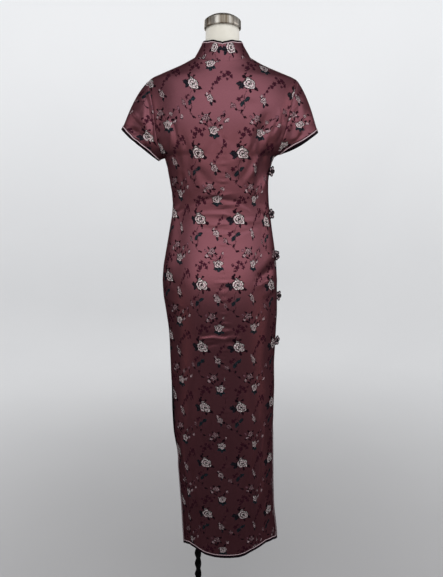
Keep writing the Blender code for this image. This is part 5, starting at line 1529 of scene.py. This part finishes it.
form = show(form_piece(), "form_torso")
show(turned("neck_cap_turned", (
    (0.0, 1669.3), (44.2, 1669.3), (45.4, 1669.6), (46.1, 1670.4), (46.2, 1671.4),
    (46.2, 1685.2), (46.0, 1686.6), (45.3, 1687.9), (44.0, 1689.0), (41.0, 1691.4),
    (37.0, 1694.0), (31.0, 1697.2), (24.0, 1699.9), (17.0, 1701.8), (11.0, 1703.0),
    (5.0, 1703.7), (0.0, 1704.0)), (0.0, 4.2), CHROME), "neck_cap")
show(pole_piece(), "stand_pole")
show(turned("stand_base_plate", (
    (0.0, 0.0), (132.6, 0.0), (134.1, 0.5), (134.9, 1.8), (135.0, 3.0), (135.0, 9.0),
    (134.9, 10.2), (134.1, 11.5), (132.6, 12.0), (0.0, 12.0)), (0.0, 0.0), IRON, 160),
    "stand_base")

# --------------------------------------------------------- camera and studio
scene = bpy.context.scene
camera = bpy.data.cameras.new("camera")
camera.sensor_width = 36.0
camera.lens = camera.sensor_width * FOCAL_PIXELS / PHOTO_TALL
camera.clip_start = 0.05
camera.clip_end = 60.0
eye = bpy.data.objects.new("camera", camera)
eye.location = EYE
eye.rotation_euler = (math.radians(90.0 - EYE_DOWN), 0.0, math.radians(180.0))
scene.collection.objects.link(eye)
scene.camera = eye
scene.view_settings.view_transform = "Standard"
scene.view_settings.look = "None"


def backdrop():
    """Round studio: a pale floor that curves up into a wall all round, its glow painted light:
    dimmed under the dress as a painted shadow, brighter far out and up the wall.
    """
    mat, net, bsdf = new_material("studio_paper")
    place = net.object_place()
    x, y, z = net.split(place)
    out = net.vec("LENGTH", net.join(x, y))
    grain = net.noise(place, 1.4, 2.0)[0]
    painted_shadow_glow, far, wall = PAINTED_BACKDROP_GLOW
    # Painted light: the emission is dimmed near the centre as a painted shadow under the dress,
    # and rises far out and up the wall.
    net.fill(bsdf, {
        "Base Color": net.mix(grain, rgb(150, 150, 152), rgb(160, 160, 161)),
        "Roughness": 0.9, "Emission Color": rgb(249, 251, 253),
        "Emission Strength": net.math("ADD", net.step(out, 0.1, 3.0, painted_shadow_glow, far),
                                      net.step(z, 0.1, 3.2, 0.0, wall))})
    profile = [(0.4, 0.0), (1.0, 0.0), (1.8, 0.0)]
    for t in np.linspace(0.0, math.pi / 2.0, 17):
        profile.append((STUDIO_REACH - STUDIO_BEND * (1.0 - math.sin(t)),
                        STUDIO_BEND * (1.0 - math.cos(t))))
    profile.append((STUDIO_REACH, STUDIO_TALL))
    around = 96
    verts = [(0.0, 0.0, 0.0)]
    for r, z_up in profile:
        for t in 2.0 * math.pi * np.arange(around) / around:
            verts.append((r * math.cos(t) / MM, r * math.sin(t) / MM, z_up / MM))
    faces = [[0, 1 + k, 1 + (k + 1) % around] for k in range(around)]
    for ring in range(len(profile) - 1):
        first = 1 + ring * around
        for k in range(around):
            other = (k + 1) % around
            faces.append([first + k, first + around + k, first + around + other, first + other])
    obj = link("studio_floor", verts, faces, [mat])
    obj.visible_glossy = False


def area_light(name, place, aim, size, power, colour):
    data = bpy.data.lights.new(name, "AREA")
    data.shape = "RECTANGLE"
    data.size, data.size_y = size
    data.energy = power
    data.color = colour
    obj = bpy.data.objects.new(name, data)
    obj.location = place
    obj.rotation_euler = (Vector(aim) - Vector(place)).to_track_quat("-Z", "Y").to_euler()
    obj.visible_camera = False
    scene.collection.objects.link(obj)


backdrop()
NEAR_WHITE, SIDE_TINT, LOW_TINT = (1.0, 0.99, 0.98), (1.0, 0.93, 0.89), (1.0, 0.72, 0.56)
for light in (
        ("window", (-0.3, 1.6, 2.25), (0.0, 0.0, 1.75), (4.4, 1.2), 20.5, (1.0, 1.0, 1.0)),
        ("screen", (0.0, 0.85, 1.25), (0.0, 0.0, 1.28), (1.6, 0.30), 1.6, (1.0, 0.85, 0.78)),
        ("ceiling", (0.0, 0.9, 3.3), (0.0, 0.25, 1.5), (3.0, 1.5), 14.0, NEAR_WHITE),
        ("side_left", (2.3, 0.0, 1.95), (0.1, 0.0, 1.2), (1.3, 0.8), 4.2, SIDE_TINT),
        ("side_right", (-2.3, 0.0, 1.95), (-0.1, 0.0, 1.2), (1.3, 0.8), 6.5, SIDE_TINT),
        ("low_left", (1.9, 1.0, 0.4), (0.1, 0.0, 0.4), (0.5, 0.6), 0.9, LOW_TINT),
        ("low_right", (-1.9, 1.0, 0.4), (-0.1, 0.0, 0.4), (0.5, 0.6), 1.2, LOW_TINT),
        ("front_fill", (0.5, -2.6, 2.0), (0.0, 0.0, 1.2), (2.4, 1.8), 22.0, NEAR_WHITE)):
    area_light(*light)
world = bpy.data.worlds.new("studio")
world.use_nodes = True
world.node_tree.nodes["Background"].inputs[0].default_value = (1.0, 0.80, 0.72, 1.0)
world.node_tree.nodes["Background"].inputs[1].default_value = 0.02
scene.world = world
